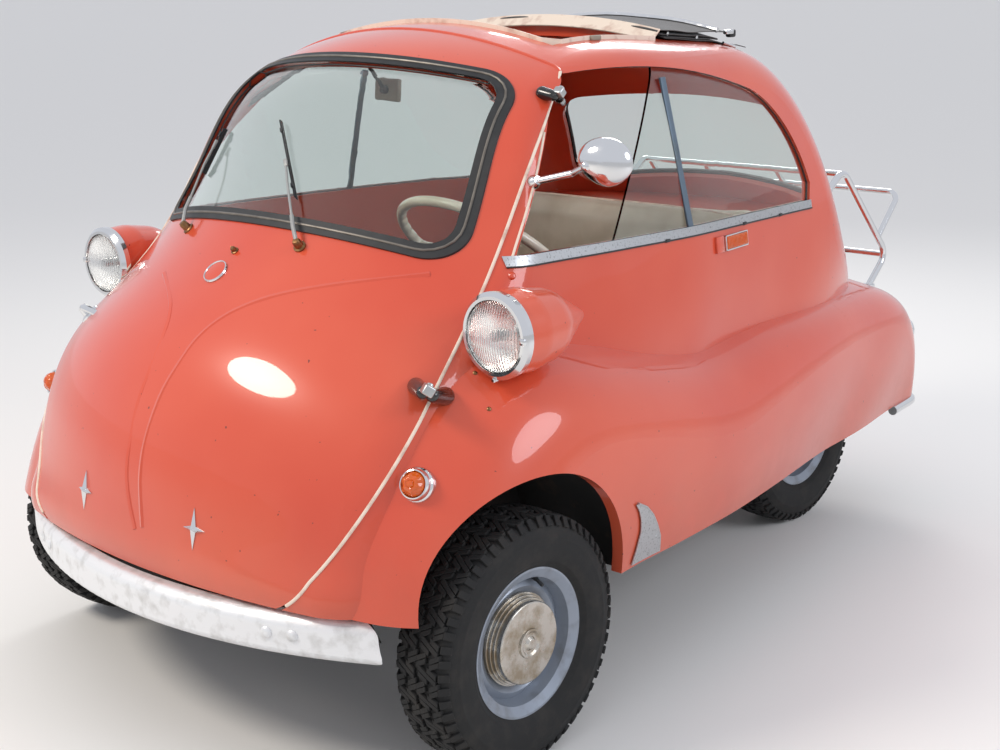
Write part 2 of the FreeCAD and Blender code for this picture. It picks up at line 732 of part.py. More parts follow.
# Front axle beam with an eye for each kingpin, and the knuckles
def front_axle_beam():
    beam = across(FRONT_AXLE_Y, TYRE_RADIUS, KINGPIN_X, BEAM_RADIUS)
    for hand in (1, -1):
        foot = V(hand * KINGPIN_X, FRONT_AXLE_Y, TYRE_RADIUS - KINGPIN_HALF)
        beam = beam.fuse(Part.makeCylinder(BEAM_RADIUS, 2 * KINGPIN_HALF, foot))
    for hand in (1, -1):
        foot = V(hand * KINGPIN_X, FRONT_AXLE_Y, TYRE_RADIUS - 2 * KINGPIN_HALF)
        beam = beam.cut(Part.makeCylinder(KINGPIN_RADIUS + RUNNING_GAP, 4 * KINGPIN_HALF, foot))
    return beam


parts["front_axle_beam"] = front_axle_beam()


def knuckle():
    # a fork that holds the kingpin above and below the eye, and the stub that carries the wheel
    lows = (TYRE_RADIUS - KINGPIN_HALF - FORK - RUNNING_GAP, TYRE_RADIUS + KINGPIN_HALF + RUNNING_GAP)
    pieces = []
    for low in lows:
        pieces.append(Part.makeCylinder(BEAM_RADIUS - 2, FORK, V(KINGPIN_X, FRONT_AXLE_Y, low)))
        pieces.append(block(
            (KINGPIN_X, FRONT_AXLE_Y - FORK_HALF, low),
            (KINGPIN_X + FORK_REACH, FRONT_AXLE_Y + FORK_HALF, low + FORK)))
    web = block(
        (KINGPIN_X + FORK_REACH - FORK, FRONT_AXLE_Y - FORK_HALF, lows[0]),
        (KINGPIN_X + FORK_REACH, FRONT_AXLE_Y + FORK_HALF, lows[1] + FORK))
    stub = rod(
        V(KINGPIN_X + FORK_REACH - FORK, FRONT_AXLE_Y, TYRE_RADIUS),
        V(FRONT_TRACK / 2.0 + STUB_PAST_HUB, FRONT_AXLE_Y, TYRE_RADIUS), STUB_RADIUS)
    pin = Part.makeCylinder(
        KINGPIN_RADIUS, 2 * (KINGPIN_HALF + FORK),
        V(KINGPIN_X, FRONT_AXLE_Y, TYRE_RADIUS - KINGPIN_HALF - FORK))
    return pin.fuse(pieces + [web, stub])


parts["knuckle_left"] = knuckle()
parts["knuckle_right"] = mirrored(parts["knuckle_left"])


# Frame under the floor, with an outrigger that carries the engine on the right
def chassis_frame():
    rails = [rod(V(hand * FRAME_X, FRAME_FRONT, FRAME_Z), V(hand * FRAME_X, FRAME_REAR, FRAME_Z), FRAME_TUBE)
             for hand in (1, -1)]
    crosses = [across(y, FRAME_Z, FRAME_X, FRAME_TUBE) for y in FRAME_CROSSES]
    outrigger = rod(V(-FRAME_X, CLAMP_MIDDLE, FRAME_Z), V(ENGINE_LOW[0], CLAMP_MIDDLE, FRAME_Z), FRAME_TUBE)
    seats = []
    for hand in (1, -1):
        seats.append(block(
            (hand * SPRING_X - SPRING_HALF, SPRING_FRONT_Y, SPRING_FRONT_Z),
            (hand * SPRING_X + SPRING_HALF, SPRING_CLAMP_Y, FRAME_Z)))
    beam_way = across(FRONT_AXLE_Y, TYRE_RADIUS, KINGPIN_X, BEAM_RADIUS)
    return rails[0].fuse(rails[1:] + crosses + [outrigger] + seats).cut(beam_way)


parts["chassis_frame"] = chassis_frame()


# Floor
def floor_pan():
    outline = [V(x, y, SILL_Z - FLOOR_PLATE) for x, y in FLOOR_EDGE]
    outline += [V(-x, y, SILL_Z - FLOOR_PLATE) for x, y in reversed(FLOOR_EDGE)]
    return Part.Face(Part.makePolygon(outline + [outline[0]])).extrude(V(0, 0, FLOOR_PLATE))


parts["floor_pan"] = floor_pan()


# Wheel houses: a cup over each front wheel, closed on its inner side
def wheel_house():
    inner_x = ARCH_INNER_X - HOUSE_PLATE
    depth = HOUSE_OUTER_X - inner_x
    cup = Part.makeCylinder(HOUSE_RADIUS + HOUSE_PLATE, depth, V(inner_x, ARCH_Y, ARCH_Z), V(1, 0, 0))
    hollow = Part.makeCylinder(HOUSE_RADIUS, depth, V(ARCH_INNER_X, ARCH_Y, ARCH_Z), V(1, 0, 0))
    return cup.cut(hollow).cut(BELOW).common(inner)


parts["wheel_houses"] = both_sides(wheel_house())


# Bulkhead and parcel shelf in one pressing
def parcel_shelf():
    shelf = block((-BENCH_HALF, BULKHEAD_Y, SHELF_Z), (BENCH_HALF, LONG, SHELF_Z + FOLD))
    wall = block((-WIDE, BULKHEAD_Y, SILL_Z), (WIDE, BULKHEAD_Y + FOLD, SHELF_Z))
    return shelf.fuse(wall).common(inner)


parts["parcel_shelf"] = parcel_shelf()


# Seat
def bench_seat():
    cushion = padded_block(
        (-BENCH_HALF, CUSHION_FRONT, CUSHION_Z - CUSHION_DEPTH),
        (BENCH_HALF, CUSHION_REAR, CUSHION_Z), PAD_CORNER)
    back = padded_block(
        (-BENCH_HALF, BULKHEAD_Y - BACK_DEPTH - SEAT_GAP, CUSHION_Z + SEAT_GAP),
        (BENCH_HALF, BULKHEAD_Y - SEAT_GAP, BACK_TOP), PAD_CORNER)
    return Part.makeCompound([cushion, back])


parts["bench_seat"] = bench_seat()
parts["seat_base"] = block(
    (-BENCH_HALF + BASE_INSET, CUSHION_FRONT + BASE_INSET, SILL_Z),
    (BENCH_HALF - BASE_INSET, CUSHION_REAR, CUSHION_Z - CUSHION_DEPTH - SEAT_GAP))

# Engine on its outrigger, and the exhaust that runs behind it
parts["engine_block"] = block(ENGINE_LOW, ENGINE_HIGH)


def exhaust():
    start = V(EXHAUST_X, ENGINE_HIGH[1] + SEAT_GAP, EXHAUST_Z)
    corner = V(EXHAUST_X, SILENCER_Y, EXHAUST_Z)
    end = V(-SILENCER_HALF / 2.0, SILENCER_Y, EXHAUST_Z)
    pipe = tube_path([start, corner, end], 3 * PIPE_RADIUS, PIPE_RADIUS)
    silencer = across(SILENCER_Y, EXHAUST_Z, SILENCER_HALF, SILENCER_RADIUS)
    outlet_start = V(SILENCER_HALF - 2 * PIPE_RADIUS, SILENCER_Y, EXHAUST_Z - PIPE_RADIUS)
    outlet = rod(outlet_start, outlet_start + V(0, 2 * SILENCER_RADIUS, 0), PIPE_RADIUS)
    return silencer.fuse([pipe, outlet])


parts["exhaust"] = exhaust()


# Bumpers
def wheel_way():
    # what a front wheel sweeps ahead of its kingpin as it steers, narrowing with height, and a clearance
    widest = math.hypot(FRONT_TRACK / 2.0 + TYRE_WIDTH / 2.0 - KINGPIN_X, TYRE_RADIUS)
    return Part.makeCone(
        widest, widest - STEER_TAPER, STEER_CLIMB, V(KINGPIN_X, FRONT_AXLE_Y, TYRE_RADIUS))


def house_way():
    # the room that the wheel houses take, and a clearance
    return Part.makeCylinder(
        HOUSE_RADIUS + HOUSE_PLATE + SEAT_GAP, 2 * WIDE, V(-WIDE, ARCH_Y, ARCH_Z), V(1, 0, 0))


def front_bumper():
    # half-round face with a flange on top, swept about the bumper's arc, and a flat plate at each end
    # columns: distance back from the bumper's arc, height above the sill, bend radius
    section = [
        (14, -48, 0), (0, -40, 14), (0, 16, 24), (14, BUMPER_TOP, 14), (BUMPER_FLANGE, BUMPER_TOP, 0),
        (BUMPER_FLANGE, BUMPER_TOP - BUMPER_PLATE, 0), (16, BUMPER_TOP - BUMPER_PLATE, 10),
        (BUMPER_PLATE, 14, 20), (BUMPER_PLATE, -38, 10), (14, -48 + BUMPER_PLATE, 0),
    ]
    middle = V(0, BUMPER_Y + BUMPER_ARC, 0)
    corners = [(V(0, BUMPER_Y + back, SILL_Z + up), bend) for back, up, bend in section]
    face = Part.Face(rounded_outline(corners))
    face.rotate(middle, V(0, 0, 1), -BUMPER_SPREAD)
    sweep = face.revolve(middle, V(0, 0, 1), 2 * BUMPER_SPREAD)
    plate_z = SILL_Z + BUMPER_TOP - BUMPER_PLATE
    disc = Part.makeCylinder(BUMPER_ARC - BUMPER_FLANGE / 2.0, BUMPER_PLATE, V(middle.x, middle.y, plate_z))
    plates = []
    for hand in (1, -1):
        outline = [V(hand * x, y, plate_z) for x, y in BUMPER_END]
        plate = Part.Face(Part.makePolygon(outline + [outline[0]])).extrude(V(0, 0, BUMPER_PLATE))
        plates.append(plate.common(disc))
    return sweep.fuse(plates).cut([wheel_way(), mirrored(wheel_way()), house_way()])


def bumper_irons():
    reach = Part.makeCylinder(
        BUMPER_ARC - BUMPER_PLATE - SEAT_GAP, 2 * IRON_HALF, V(0, BUMPER_Y + BUMPER_ARC, IRON_Z - IRON_HALF))
    iron = block(
        (FRAME_X - IRON_HALF, BUMPER_Y, IRON_Z - IRON_HALF),
        (FRAME_X + IRON_HALF, FRAME_FRONT - SEAT_GAP, IRON_Z + IRON_HALF))
    return both_sides(iron.common(reach))


parts["front_bumper"] = front_bumper()
parts["bumper_irons"] = bumper_irons()


def rear_bumper():
    # one bent bar under each rear corner
    z = SILL_Z - SEAT_GAP - REAR_BAR
    return tube_path([V(x, y, z) for x, y in REAR_BAR_LINE], REAR_BAR_BEND, REAR_BAR)


parts["rear_bumpers"] = both_sides(rear_bumper())


# Luggage rack: two side frames, a stop loop, cross bars and two slats
def luggage_rack():
    rails = []
    route = [V(RACK_X, y, z) for y, z in RACK_SIDE]
    for hand in (1, -1):
        rails.append(tube_path([V(hand * p.x, p.y, p.z) for p in route], RACK_BEND, RACK_TUBE))
    high = bend_at(route[0], route[1], route[2], RACK_BEND)[1]
    low = bend_at(route[1], route[2], route[3], RACK_BEND)[1]
    branch = route[2] + (route[1] - route[2]) * RACK_STOP_SHARE
    stop_corner = V(RACK_X, branch.y, branch.z) + V(0, RACK_STOP_REACH, RACK_STOP_REACH)
    bar = RACK_TUBE - 1
    across_corner = V(-stop_corner.x, stop_corner.y, stop_corner.z)
    across_branch = V(-branch.x, branch.y, branch.z)
    stop = tube_path([branch, stop_corner, across_corner, across_branch], RACK_BEND, bar)
    pieces = rails[1:] + [stop] + [rod(V(-p.x, p.y, p.z), p, bar) for p in (high, low)]
    for x in (-RACK_SLAT_X, RACK_SLAT_X):
        pieces.append(rod(V(x, high.y, high.z), V(x, low.y, low.z), bar - 1))
    feet = [V(hand * RACK_X, route[3].y, route[3].z - RACK_FOOT) for hand in (1, -1)]
    pieces += [Part.makeCylinder(2 * RACK_TUBE, 2 * RACK_FOOT, foot) for foot in feet]
    return rails[0].fuse(pieces).cut(cabin).cut(hips)


parts["luggage_rack"] = luggage_rack()


# Headlamps, turn lamps and tail lamps
def turned(place, profile, run):
    # columns: distance along the axis, radius, bend radius
    side = run.cross(V(1, 0, 0))
    if side.Length < 0.5:
        side = run.cross(V(0, 0, 1))
    side.normalize()
    corners = [(place + run * along + side * radius, bend) for along, radius, bend in profile]
    return Part.Face(rounded_outline(corners)).revolve(place, run, 360)


BACK = V(0, 1, 0)
pod = turned(LAMP, [
    (LAMP_RIM, 0, 0), (LAMP_RIM, LAMP_RADIUS - 4, 0), (60, LAMP_RADIUS - 1, 60), (130, 68, 90),
    (POD_LENGTH, 10, 0), (POD_LENGTH, 0, 0)], BACK)
lamp_ring = turned(LAMP, [
    (-8, LENS_RADIUS, 0), (-8, LAMP_RADIUS - 8, 0), (0, LAMP_RADIUS, 0),
    (LAMP_RIM - SEAT_GAP, LAMP_RADIUS, 0), (LAMP_RIM - SEAT_GAP, LENS_RADIUS, 0)], BACK)
lens = turned(LAMP, [
    (-22, 0, 0), (-19, 30, 60), (-4, LENS_RADIUS - SEAT_GAP, 0),
    (LAMP_RIM - SEAT_GAP, LENS_RADIUS - SEAT_GAP, 0), (LAMP_RIM - SEAT_GAP, 0, 0)], BACK)
parts["headlamp_pods"] = both_sides(pod.cut(cabin).cut(hips))
parts["headlamp_lenses"] = both_sides(lens.cut(cabin).cut(hips))

turn_ring = turned(TURN_LAMP, [
    (-6, TURN_LENS, 0), (-6, TURN_RADIUS, 3), (TURN_LENGTH, TURN_RADIUS, 0),
    (TURN_LENGTH, TURN_LENS, 0)], TURN_IN)
turn_lens = turned(TURN_LAMP, [
    (-18, 0, 0), (-16, 17, 10), (-4, TURN_LENS - SEAT_GAP, 0), (TURN_LENGTH, TURN_LENS - SEAT_GAP, 0),
    (TURN_LENGTH, 0, 0)], TURN_IN)
marker = padded_block(MARKER_LOW, MARKER_HIGH, MARKER_CORNER).common(cabin_skin(-MARKER_PROUD)).cut(cabin)
parts["lamp_rings"] = Part.makeCompound([
    both_sides(lamp_ring.cut(cabin).cut(hips)), both_sides(turn_ring.cut(cabin).cut(hips))])
parts["amber_lamps"] = Part.makeCompound([
    both_sides(turn_lens.cut(cabin).cut(hips)), both_sides(marker)])

tail_lens = turned(TAIL_LAMP, [(0, 0, 0), (2, 24, 16), (16, 34, 6), (120, 34, 0), (120, 0, 0)], V(0, -1, 0))
parts["tail_lamps"] = both_sides(tail_lens.cut(hips))

# Bare plates behind the front wheels
guard = block((ARCH_INNER_X, GUARD_FRONT, GUARD_LOW), (WIDE, GUARD_REAR, GUARD_HIGH))
parts["stone_guards"] = both_sides(guard.common(hip_skin(-PLATE)).cut(hips))


# Mirror on its arm, at the left only
def mirror():
    arm = rod(MIRROR_ROOT, MIRROR_HEAD, MIRROR_ARM)
    shell = turned(MIRROR_HEAD, [
        (9, 0, 0), (9, MIRROR_RADIUS, 3), (3, MIRROR_RADIUS + 2, 3), (-14, 34, 20), (-24, 0, 0)], MIRROR_LOOK)
    return arm.fuse(shell).cut(cabin)


parts["mirror"] = mirror()


# Folded fabric roof, which lies on the panel behind its opening
def folded_roof():
    outline = STACK_TOP + [(STACK_REAR, ROOF_INSIDE_Z), (STACK_FRONT, ROOF_INSIDE_Z)]
    stack = slab(outline, -SUNROOF_HALF + FOLD, SUNROOF_HALF - FOLD)
    return stack.common(cabin_skin(-STACK_HEIGHT)).cut(cabin)


parts["folded_roof"] = folded_roof()


# Hinges: barrels on the pin line, straps to the skin
def barrel(centre, start, length, radius):
    return Part.makeCylinder(radius, length, centre + HINGE_DIR * start, HINGE_DIR)


def hinge_leaves():
    fixed = []
    swung = []
    half = HINGE_BARREL / 2.0
    for centre, to_body, to_door in HINGES:
        pin = barrel(centre, -HINGE_BARREL, 2 * HINGE_BARREL, HINGE_PIN_RADIUS)
        pin_way = barrel(centre, -2 * HINGE_BARREL, 4 * HINGE_BARREL, HINGE_PIN_RADIUS + RUNNING_GAP)
        lower = barrel(centre, -HINGE_BARREL, HINGE_BARREL - RUNNING_GAP, HINGE_BARREL_RADIUS)
        upper = barrel(centre, 0, HINGE_BARREL, HINGE_BARREL_RADIUS)
        body_strap = rod(centre - HINGE_DIR * half, centre - HINGE_DIR * half + to_body, HINGE_STRAP)
        door_strap = rod(centre + HINGE_DIR * half, centre + HINGE_DIR * half + to_door, HINGE_STRAP)
        fixed.append(lower.fuse([pin, body_strap]).cut(cabin).cut(hips))
        swung.append(upper.fuse(door_strap).cut(pin_way).cut(cabin))
    return Part.makeCompound(fixed), Part.makeCompound(swung)


parts["hinge_body_leaves"], parts["hinge_door_leaves"] = hinge_leaves()


# Steering column, dash and steering wheel, all carried by the door
def steering():
    run = (WHEEL_CENTRE - COLUMN_FOOT).normalize()
    column = rod(COLUMN_FOOT + run * COLUMN_FOOT_GAP, WHEEL_CENTRE - run * BOSS_LENGTH, COLUMN_RADIUS)
    bracket = rod(BRACKET_START, BRACKET_END, BRACKET_RADIUS)
    dash = block((-DASH_HALF, BUMPER_Y, DASH_Z), (DASH_HALF, DASH_REAR, DASH_Z + DASH_DEPTH))
    column = column.fuse(bracket)
    parts["steering_column"] = column
    parts["dash_panel"] = dash.common(cabin_inner).cut(column)
    rim = Part.makeTorus(STEERING_RIM_RADIUS, STEERING_RIM_TUBE, WHEEL_CENTRE, run)
    boss = Part.makeCylinder(BOSS_RADIUS, BOSS_LENGTH, WHEEL_CENTRE - run * (BOSS_LENGTH - SEAT_GAP), run)
    side = V(STEERING_RIM_RADIUS, 0, 0)
    spoke_line = WHEEL_CENTRE - run * SPOKE_RADIUS
    parts["steering_wheel"] = rim.fuse([boss, rod(spoke_line - side, spoke_line + side, SPOKE_RADIUS)])


steering()

# The drawing's zero moves to the middle of the whole length, from the bumper's face to the rack's stop
MIDDLE_Y = (BUMPER_Y + parts["luggage_rack"].optimalBoundingBox().YMax) / 2.0

os.makedirs("parts", exist_ok=True)
for name, shape in parts.items():
    print(name, shape.isValid(), len(shape.Solids), round(shape.Volume / 1e6, 3))
    shape.translated(V(0, -MIDDLE_Y, 0)).exportStep("parts/" + name + ".step")
print("drawing moved by", round(-MIDDLE_Y, 3))
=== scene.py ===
"""Bubble car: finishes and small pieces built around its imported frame."""

import math

import bmesh
import bpy
from bpy.props import FloatProperty, FloatVectorProperty, IntProperty, PointerProperty
from mathutils import Matrix, Vector
from mathutils.bvhtree import BVHTree


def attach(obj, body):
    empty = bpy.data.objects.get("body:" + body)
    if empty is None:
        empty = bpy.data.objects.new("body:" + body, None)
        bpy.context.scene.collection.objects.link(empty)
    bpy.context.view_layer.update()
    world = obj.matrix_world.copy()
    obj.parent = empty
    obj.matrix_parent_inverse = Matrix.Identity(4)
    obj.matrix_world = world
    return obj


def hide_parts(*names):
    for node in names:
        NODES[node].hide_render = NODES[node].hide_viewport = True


bl_info = {
    "name": "Bubble car looks",
    "version": (1, 0, 0),
    "blender": (4, 5, 0),
    "location": "3D View > Sidebar > Bubble car",
    "description": "Finishes, trim, treads and soft pieces for the packed bubble car",
    "category": "Object",
}

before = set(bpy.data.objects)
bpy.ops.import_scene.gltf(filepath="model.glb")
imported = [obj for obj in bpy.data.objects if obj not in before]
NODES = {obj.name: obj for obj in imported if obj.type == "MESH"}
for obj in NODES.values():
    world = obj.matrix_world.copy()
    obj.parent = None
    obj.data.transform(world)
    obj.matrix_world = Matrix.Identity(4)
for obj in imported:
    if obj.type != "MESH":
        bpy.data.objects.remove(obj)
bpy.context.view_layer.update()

# The drawing's zero lies this many millimetres ahead of the frame's
DRAWING_SHIFT = 15.4
# The photograph's camera, and the image size that its pixels are read in
CAMERA_PLACE = Vector((2.4159, -2.7805, 1.4402))
CAMERA_YAW = math.radians(42.274)
CAMERA_PITCH = math.radians(14.352)
CAMERA_ROLL = math.radians(-0.849)
CAMERA_LENS = 56.41
SENSOR = 36.0
IMAGE_SIZE = (1000.0, 750.0)
FOCAL = CAMERA_LENS / SENSOR * IMAGE_SIZE[0]
ROOT_HALF = math.sqrt(0.5)


# Colour and points
def linear(code):
    """An sRGB hex colour such as #CC5540 as scene-linear red, green, blue and full alpha."""
    values = [int(code[start:start + 2], 16) / 255.0 for start in (1, 3, 5)]
    return tuple(v / 12.92 if v <= 0.04045 else ((v + 0.055) / 1.055) ** 2.4 for v in values) + (1.0,)


def at(x, y, z):
    """A point of the drawing, in its millimetres, as a place in the frame."""
    return Vector((x, y + DRAWING_SHIFT, z)) / 1000.0


def lean(x, climb, reach):
    """A point from half width, climb and reach on the door's 45 degree lean."""
    return at(x, (climb - reach) * ROOT_HALF, (climb + reach) * ROOT_HALF)


def camera_axes():
    """The camera's right, up and forward directions."""
    forward = Vector((
        -math.sin(CAMERA_YAW) * math.cos(CAMERA_PITCH), math.cos(CAMERA_YAW) * math.cos(CAMERA_PITCH),
        -math.sin(CAMERA_PITCH)))
    level = Vector((math.cos(CAMERA_YAW), math.sin(CAMERA_YAW), 0.0))
    up = level.cross(forward)
    right = level * math.cos(CAMERA_ROLL) + up * math.sin(CAMERA_ROLL)
    return right, right.cross(forward), forward


def skin(*names):
    """One search tree over some nodes' surfaces."""
    shell = bmesh.new()
    for name in names:
        shell.from_mesh(NODES[name].data)
    tree = BVHTree.FromBMesh(shell)
    shell.free()
    return tree


def cast(tree, start, direction):
    """Where a ray first meets a surface, and the normal on the side that it came from; None for a miss."""
    place, normal = tree.ray_cast(start, direction.normalized())[:2]
    if place is None:
        return None
    if normal.dot(direction) > 0:
        normal = -normal
    return place, normal


def seen(tree, u, v):
    """The surface point that the photograph shows at a pixel, with its normal."""
    right, up, forward = camera_axes()
    direction = forward + right * ((u - IMAGE_SIZE[0] / 2) / FOCAL) - up * ((v - IMAGE_SIZE[1] / 2) / FOCAL)
    hit = cast(tree, CAMERA_PLACE, direction)
    if hit is None:
        raise RuntimeError(f"no surface behind pixel {u}, {v}")
    return hit


def flank(tree, y, z, hand=1):
    """The outer surface of a side at a height and length of the drawing."""
    start = at(hand * 900, y, z)
    hit = cast(tree, start, Vector((-hand, 0, 0)))
    if hit is None:
        raise RuntimeError(f"no side surface at {y}, {z}")
    return hit


def stand(place, out, up):
    """A placing matrix whose z points out of a surface and whose y points up along it."""
    z_axis = out.normalized()
    x_axis = up.cross(z_axis).normalized()
    y_axis = z_axis.cross(x_axis)
    turn = Matrix((x_axis, y_axis, z_axis)).transposed().to_4x4()
    return Matrix.Translation(place) @ turn


def mirror_across(*shapes):
    """Adds to each shape the same on the car's other side."""
    for shape in shapes:
        made = bmesh.ops.duplicate(shape, geom=shape.verts[:] + shape.edges[:] + shape.faces[:])
        new = [item for item in made["geom"] if isinstance(item, bmesh.types.BMVert)]
        bmesh.ops.scale(shape, vec=(-1, 1, 1), verts=new)
        bmesh.ops.reverse_faces(shape, faces=[f for f in made["geom"] if isinstance(f, bmesh.types.BMFace)])


# Shapes
def blanks(count):
    """Some empty shapes."""
    return [bmesh.new() for _ in range(count)]


def turn(shape, profile, place, axis, steps=40):
    """Spins a profile, given as distance along the axis and radius, all the way round."""
    run = Vector(axis).normalized()
    side = run.orthogonal().normalized()
    corners = [shape.verts.new(place + run * along + side * radius) for along, radius in profile]
    edges = [shape.edges.new(pair) for pair in zip(corners, corners[1:])]
    bmesh.ops.spin(
        shape, geom=corners + edges, cent=place, axis=run, dvec=(0, 0, 0), angle=math.tau, steps=steps,
        use_merge=True, use_duplicate=False)
    bmesh.ops.remove_doubles(shape, verts=shape.verts, dist=1e-6)


# Columns of each turned shape: distance along its axis, radius, in millimetres
PROFILES = {
    "wiper_cap": [(-4, 0), (-4, 12.5), (3, 12.5), (5, 9), (16, 8.5), (21, 6), (22, 0)],
    "washer_jet": [(-3, 0), (-3, 8), (2, 8), (3, 5.5), (9, 5), (11, 3), (11.5, 0)],
    "jet_nozzle": [(0, 0), (0, 1.6), (7, 1.4), (7, 0)],
    "badge_ring": [(-2, 26), (2, 27), (4.5, 26), (4.8, 24), (3, 23), (-2, 23), (-2, 26)],
    "badge_disc": [(-2, 0), (-2, 23), (3, 23), (4.6, 13.5), (5, 0)],
    "handle_stem": [(-3, 0), (-3, 24), (3, 23), (6, 14), (24, 9), (24, 0)],
    "turn_lamp_collar": [
        (-20, 32.5), (1, 32.5), (4, 31.2), (6, 28.8), (13.5, 27.6), (16.5, 26.2), (17.2, 24.2), (15.5, 22.8),
        (8, 22.4), (-20, 22.4), (-20, 32.5)],
    "turn_lamp_dome": [
        (-12, 22.2), (15, 22.2), (19.5, 21.4), (25, 18.6), (29, 13.5), (30.5, 9.5), (29.8, 7.5), (32.5, 5.5),
        (33.5, 0)],
    "headlamp_bowl": [
        (11.2, 0), (11, 14), (9.5, 30), (6, 46), (1, 58), (-2.5, 64.8), (0, 65.2), (11.4, 65.2), (11.4, 0)],
    "bulb_cap": [(10.5, 0), (10.5, 11), (2, 10.5), (-3, 7), (-4.5, 0)],
    "lamp_screw": [(-6, 0), (-6, 4.5), (3, 4.5), (4.5, 3), (4.5, 0)],
    "tail_lamp_ring": [(-12, 34.5), (4, 34.5), (6, 37), (3, 39.5), (-4, 40), (-30, 40), (-30, 34.5), (-12, 34.5)],
    "pin_head": [(-3, 0), (-3, 6.8), (2, 6.4), (4, 4), (4.5, 0)],
    "mirror_shell": [
        (8.5, 40.5), (8.5, 44), (4, 45.5), (-4, 43.5), (-12, 37), (-18, 28), (-22, 16), (-23.5, 6), (-23.8, 0)],
    "mirror_glass": [(3, 0), (3, 41.5), (7.5, 41.5), (8.5, 39), (9, 0)],
    "mirror_foot": [(-4, 0), (-4, 14), (2, 13.5), (8, 10.5), (14, 8.5), (14, 0)],
    "mirror_ball": [(-12, 0), (-10.5, 6.5), (-6, 10.5), (0, 11.8), (6, 10.5), (8, 0)],
    "valve": [(-12, 0), (-12, 5.5), (2, 5), (4, 3.6), (22, 3.6), (23.5, 2.8), (24, 0)],
    "steering_boss": [(-30, 0), (-30, 28), (-12, 32), (0, 32), (6, 28), (9, 18), (9.5, 0)],
    "driving_mirror_ball": [(-11, 0), (-9.5, 6), (-4, 10.5), (3, 11), (9, 7), (11, 0)],
    "instrument_case": [(-40, 0), (-40, 30), (-20, 40), (0, 43), (6, 43), (8, 40), (4, 38), (4, 0)],
    "instrument_face": [(3.8, 0), (3.8, 37.5), (5.2, 37.5), (5.6, 0)],
    "guard_screw": [(0, 0), (0, 6), (4, 5.5), (5.5, 3), (6, 0)],
    "bumper_bolt": [(-2, 0), (-2, 11.5), (1.5, 11.5), (4, 9), (5.5, 5), (6, 0)],
    "stud": [(-2, 0), (-2, 4.5), (1, 4.2), (2.5, 2.5), (3, 0)],
    "plug": [(-2, 0), (-2, 7.5), (2, 7.2), (4.5, 5), (5.5, 0)],
}


def turned(shape, name, place, axis, steps=40):
    """Spins one of the named profiles."""
    turn(shape, [(along / 1000, radius / 1000) for along, radius in PROFILES[name]], place, axis, steps)


def fitted(shape, name, tree, pixels, steps):
    """Turned fittings standing on a surface, each where the photograph shows it."""
    for pixel in pixels:
        turned(shape, name, *seen(tree, *pixel), steps)


def absorb(shape, other):
    """Moves all of one shape into another."""
    holder = bpy.data.meshes.new("part")
    other.to_mesh(holder)
    other.free()
    shape.from_mesh(holder)
    bpy.data.meshes.remove(holder)


def curve_mesh(points, radius=0.0, closed=False, smooth=False, rings=2, fineness=6):
    """The mesh of a straight or smooth run through points, as thick as its radius."""
    curve = bpy.data.curves.new("run", "CURVE")
    curve.dimensions = "3D"
    curve.bevel_depth = radius
    curve.bevel_resolution = rings
    curve.use_fill_caps = not closed
    curve.resolution_u = fineness
    spline = curve.splines.new("NURBS" if smooth else "POLY")
    spline.points.add(len(points) - 1)
    for point, place in zip(spline.points, points):
        point.co = (*place, 1.0)
    spline.use_cyclic_u = closed
    if smooth:
        spline.order_u = 3
        spline.use_endpoint_u = not closed
    holder = bpy.data.objects.new("run", curve)
    mesh = bpy.data.meshes.new_from_object(holder)
    bpy.data.objects.remove(holder)
    bpy.data.curves.remove(curve)
    return mesh


def bent_rod(shape, points, radius, closed=False, smooth=False, rings=2):
    """A round rod along points, joined to a shape."""
    mesh = curve_mesh(points, radius, closed, smooth, rings)
    shape.from_mesh(mesh)
    bpy.data.meshes.remove(mesh)


def padded_bar(shape, place, size, edge, segments=2):
    """A bar of three sizes with rounded edges, set by a placing matrix."""
    made = bmesh.ops.create_cube(shape, size=1.0, matrix=place @ Matrix.Diagonal((*size, 1.0)))
    edges = list({e for v in made["verts"] for e in v.link_edges})
    bmesh.ops.bevel(
        shape, geom=edges, offset=edge, segments=segments, profile=0.5, affect="EDGES", material=-1)


def bars(shape, face, rows, segments=2, hand=1):
    """Padded bars on a face, each from its place along, up and out, its size and its edge in millimetres."""
    for (along, up, out), size, edge in rows:
        place = face @ Matrix.Translation((hand * along / 1000, up / 1000, out / 1000))
        padded_bar(shape, place, [length / 1000 for length in size], edge / 1000, segments)


def rounded(corners, bows, bend, steps=6):
    """A closed outline through corners, each side bowed through a middle point or straight, corners rounded."""
    count = len(corners)
    sides = []
    for index in range(count):
        start, end = Vector(corners[index]), Vector(corners[(index + 1) % count])
        middle = Vector(bows[index]) if bows[index] else (start + end) / 2
        control = middle * 2 - (start + end) / 2
        trim = bend / (end - start).length
        shares = [trim + (1 - 2 * trim) * step / 12 for step in range(13)]
        sides.append([start * (1 - t) ** 2 + control * 2 * t * (1 - t) + end * t * t for t in shares])
    outline = []
    for index in range(count):
        outline += sides[index]
        before, corner, after = sides[index][-1], Vector(corners[(index + 1) % count]), sides[(index + 1) % count][0]
        for step in range(1, steps):
            t = step / steps
            weight = (1 - t) ** 2 + 2 * ROOT_HALF * t * (1 - t) + t * t
            outline.append((before * (1 - t) ** 2 + corner * 2 * ROOT_HALF * t * (1 - t) + after * t * t) / weight)
    return outline


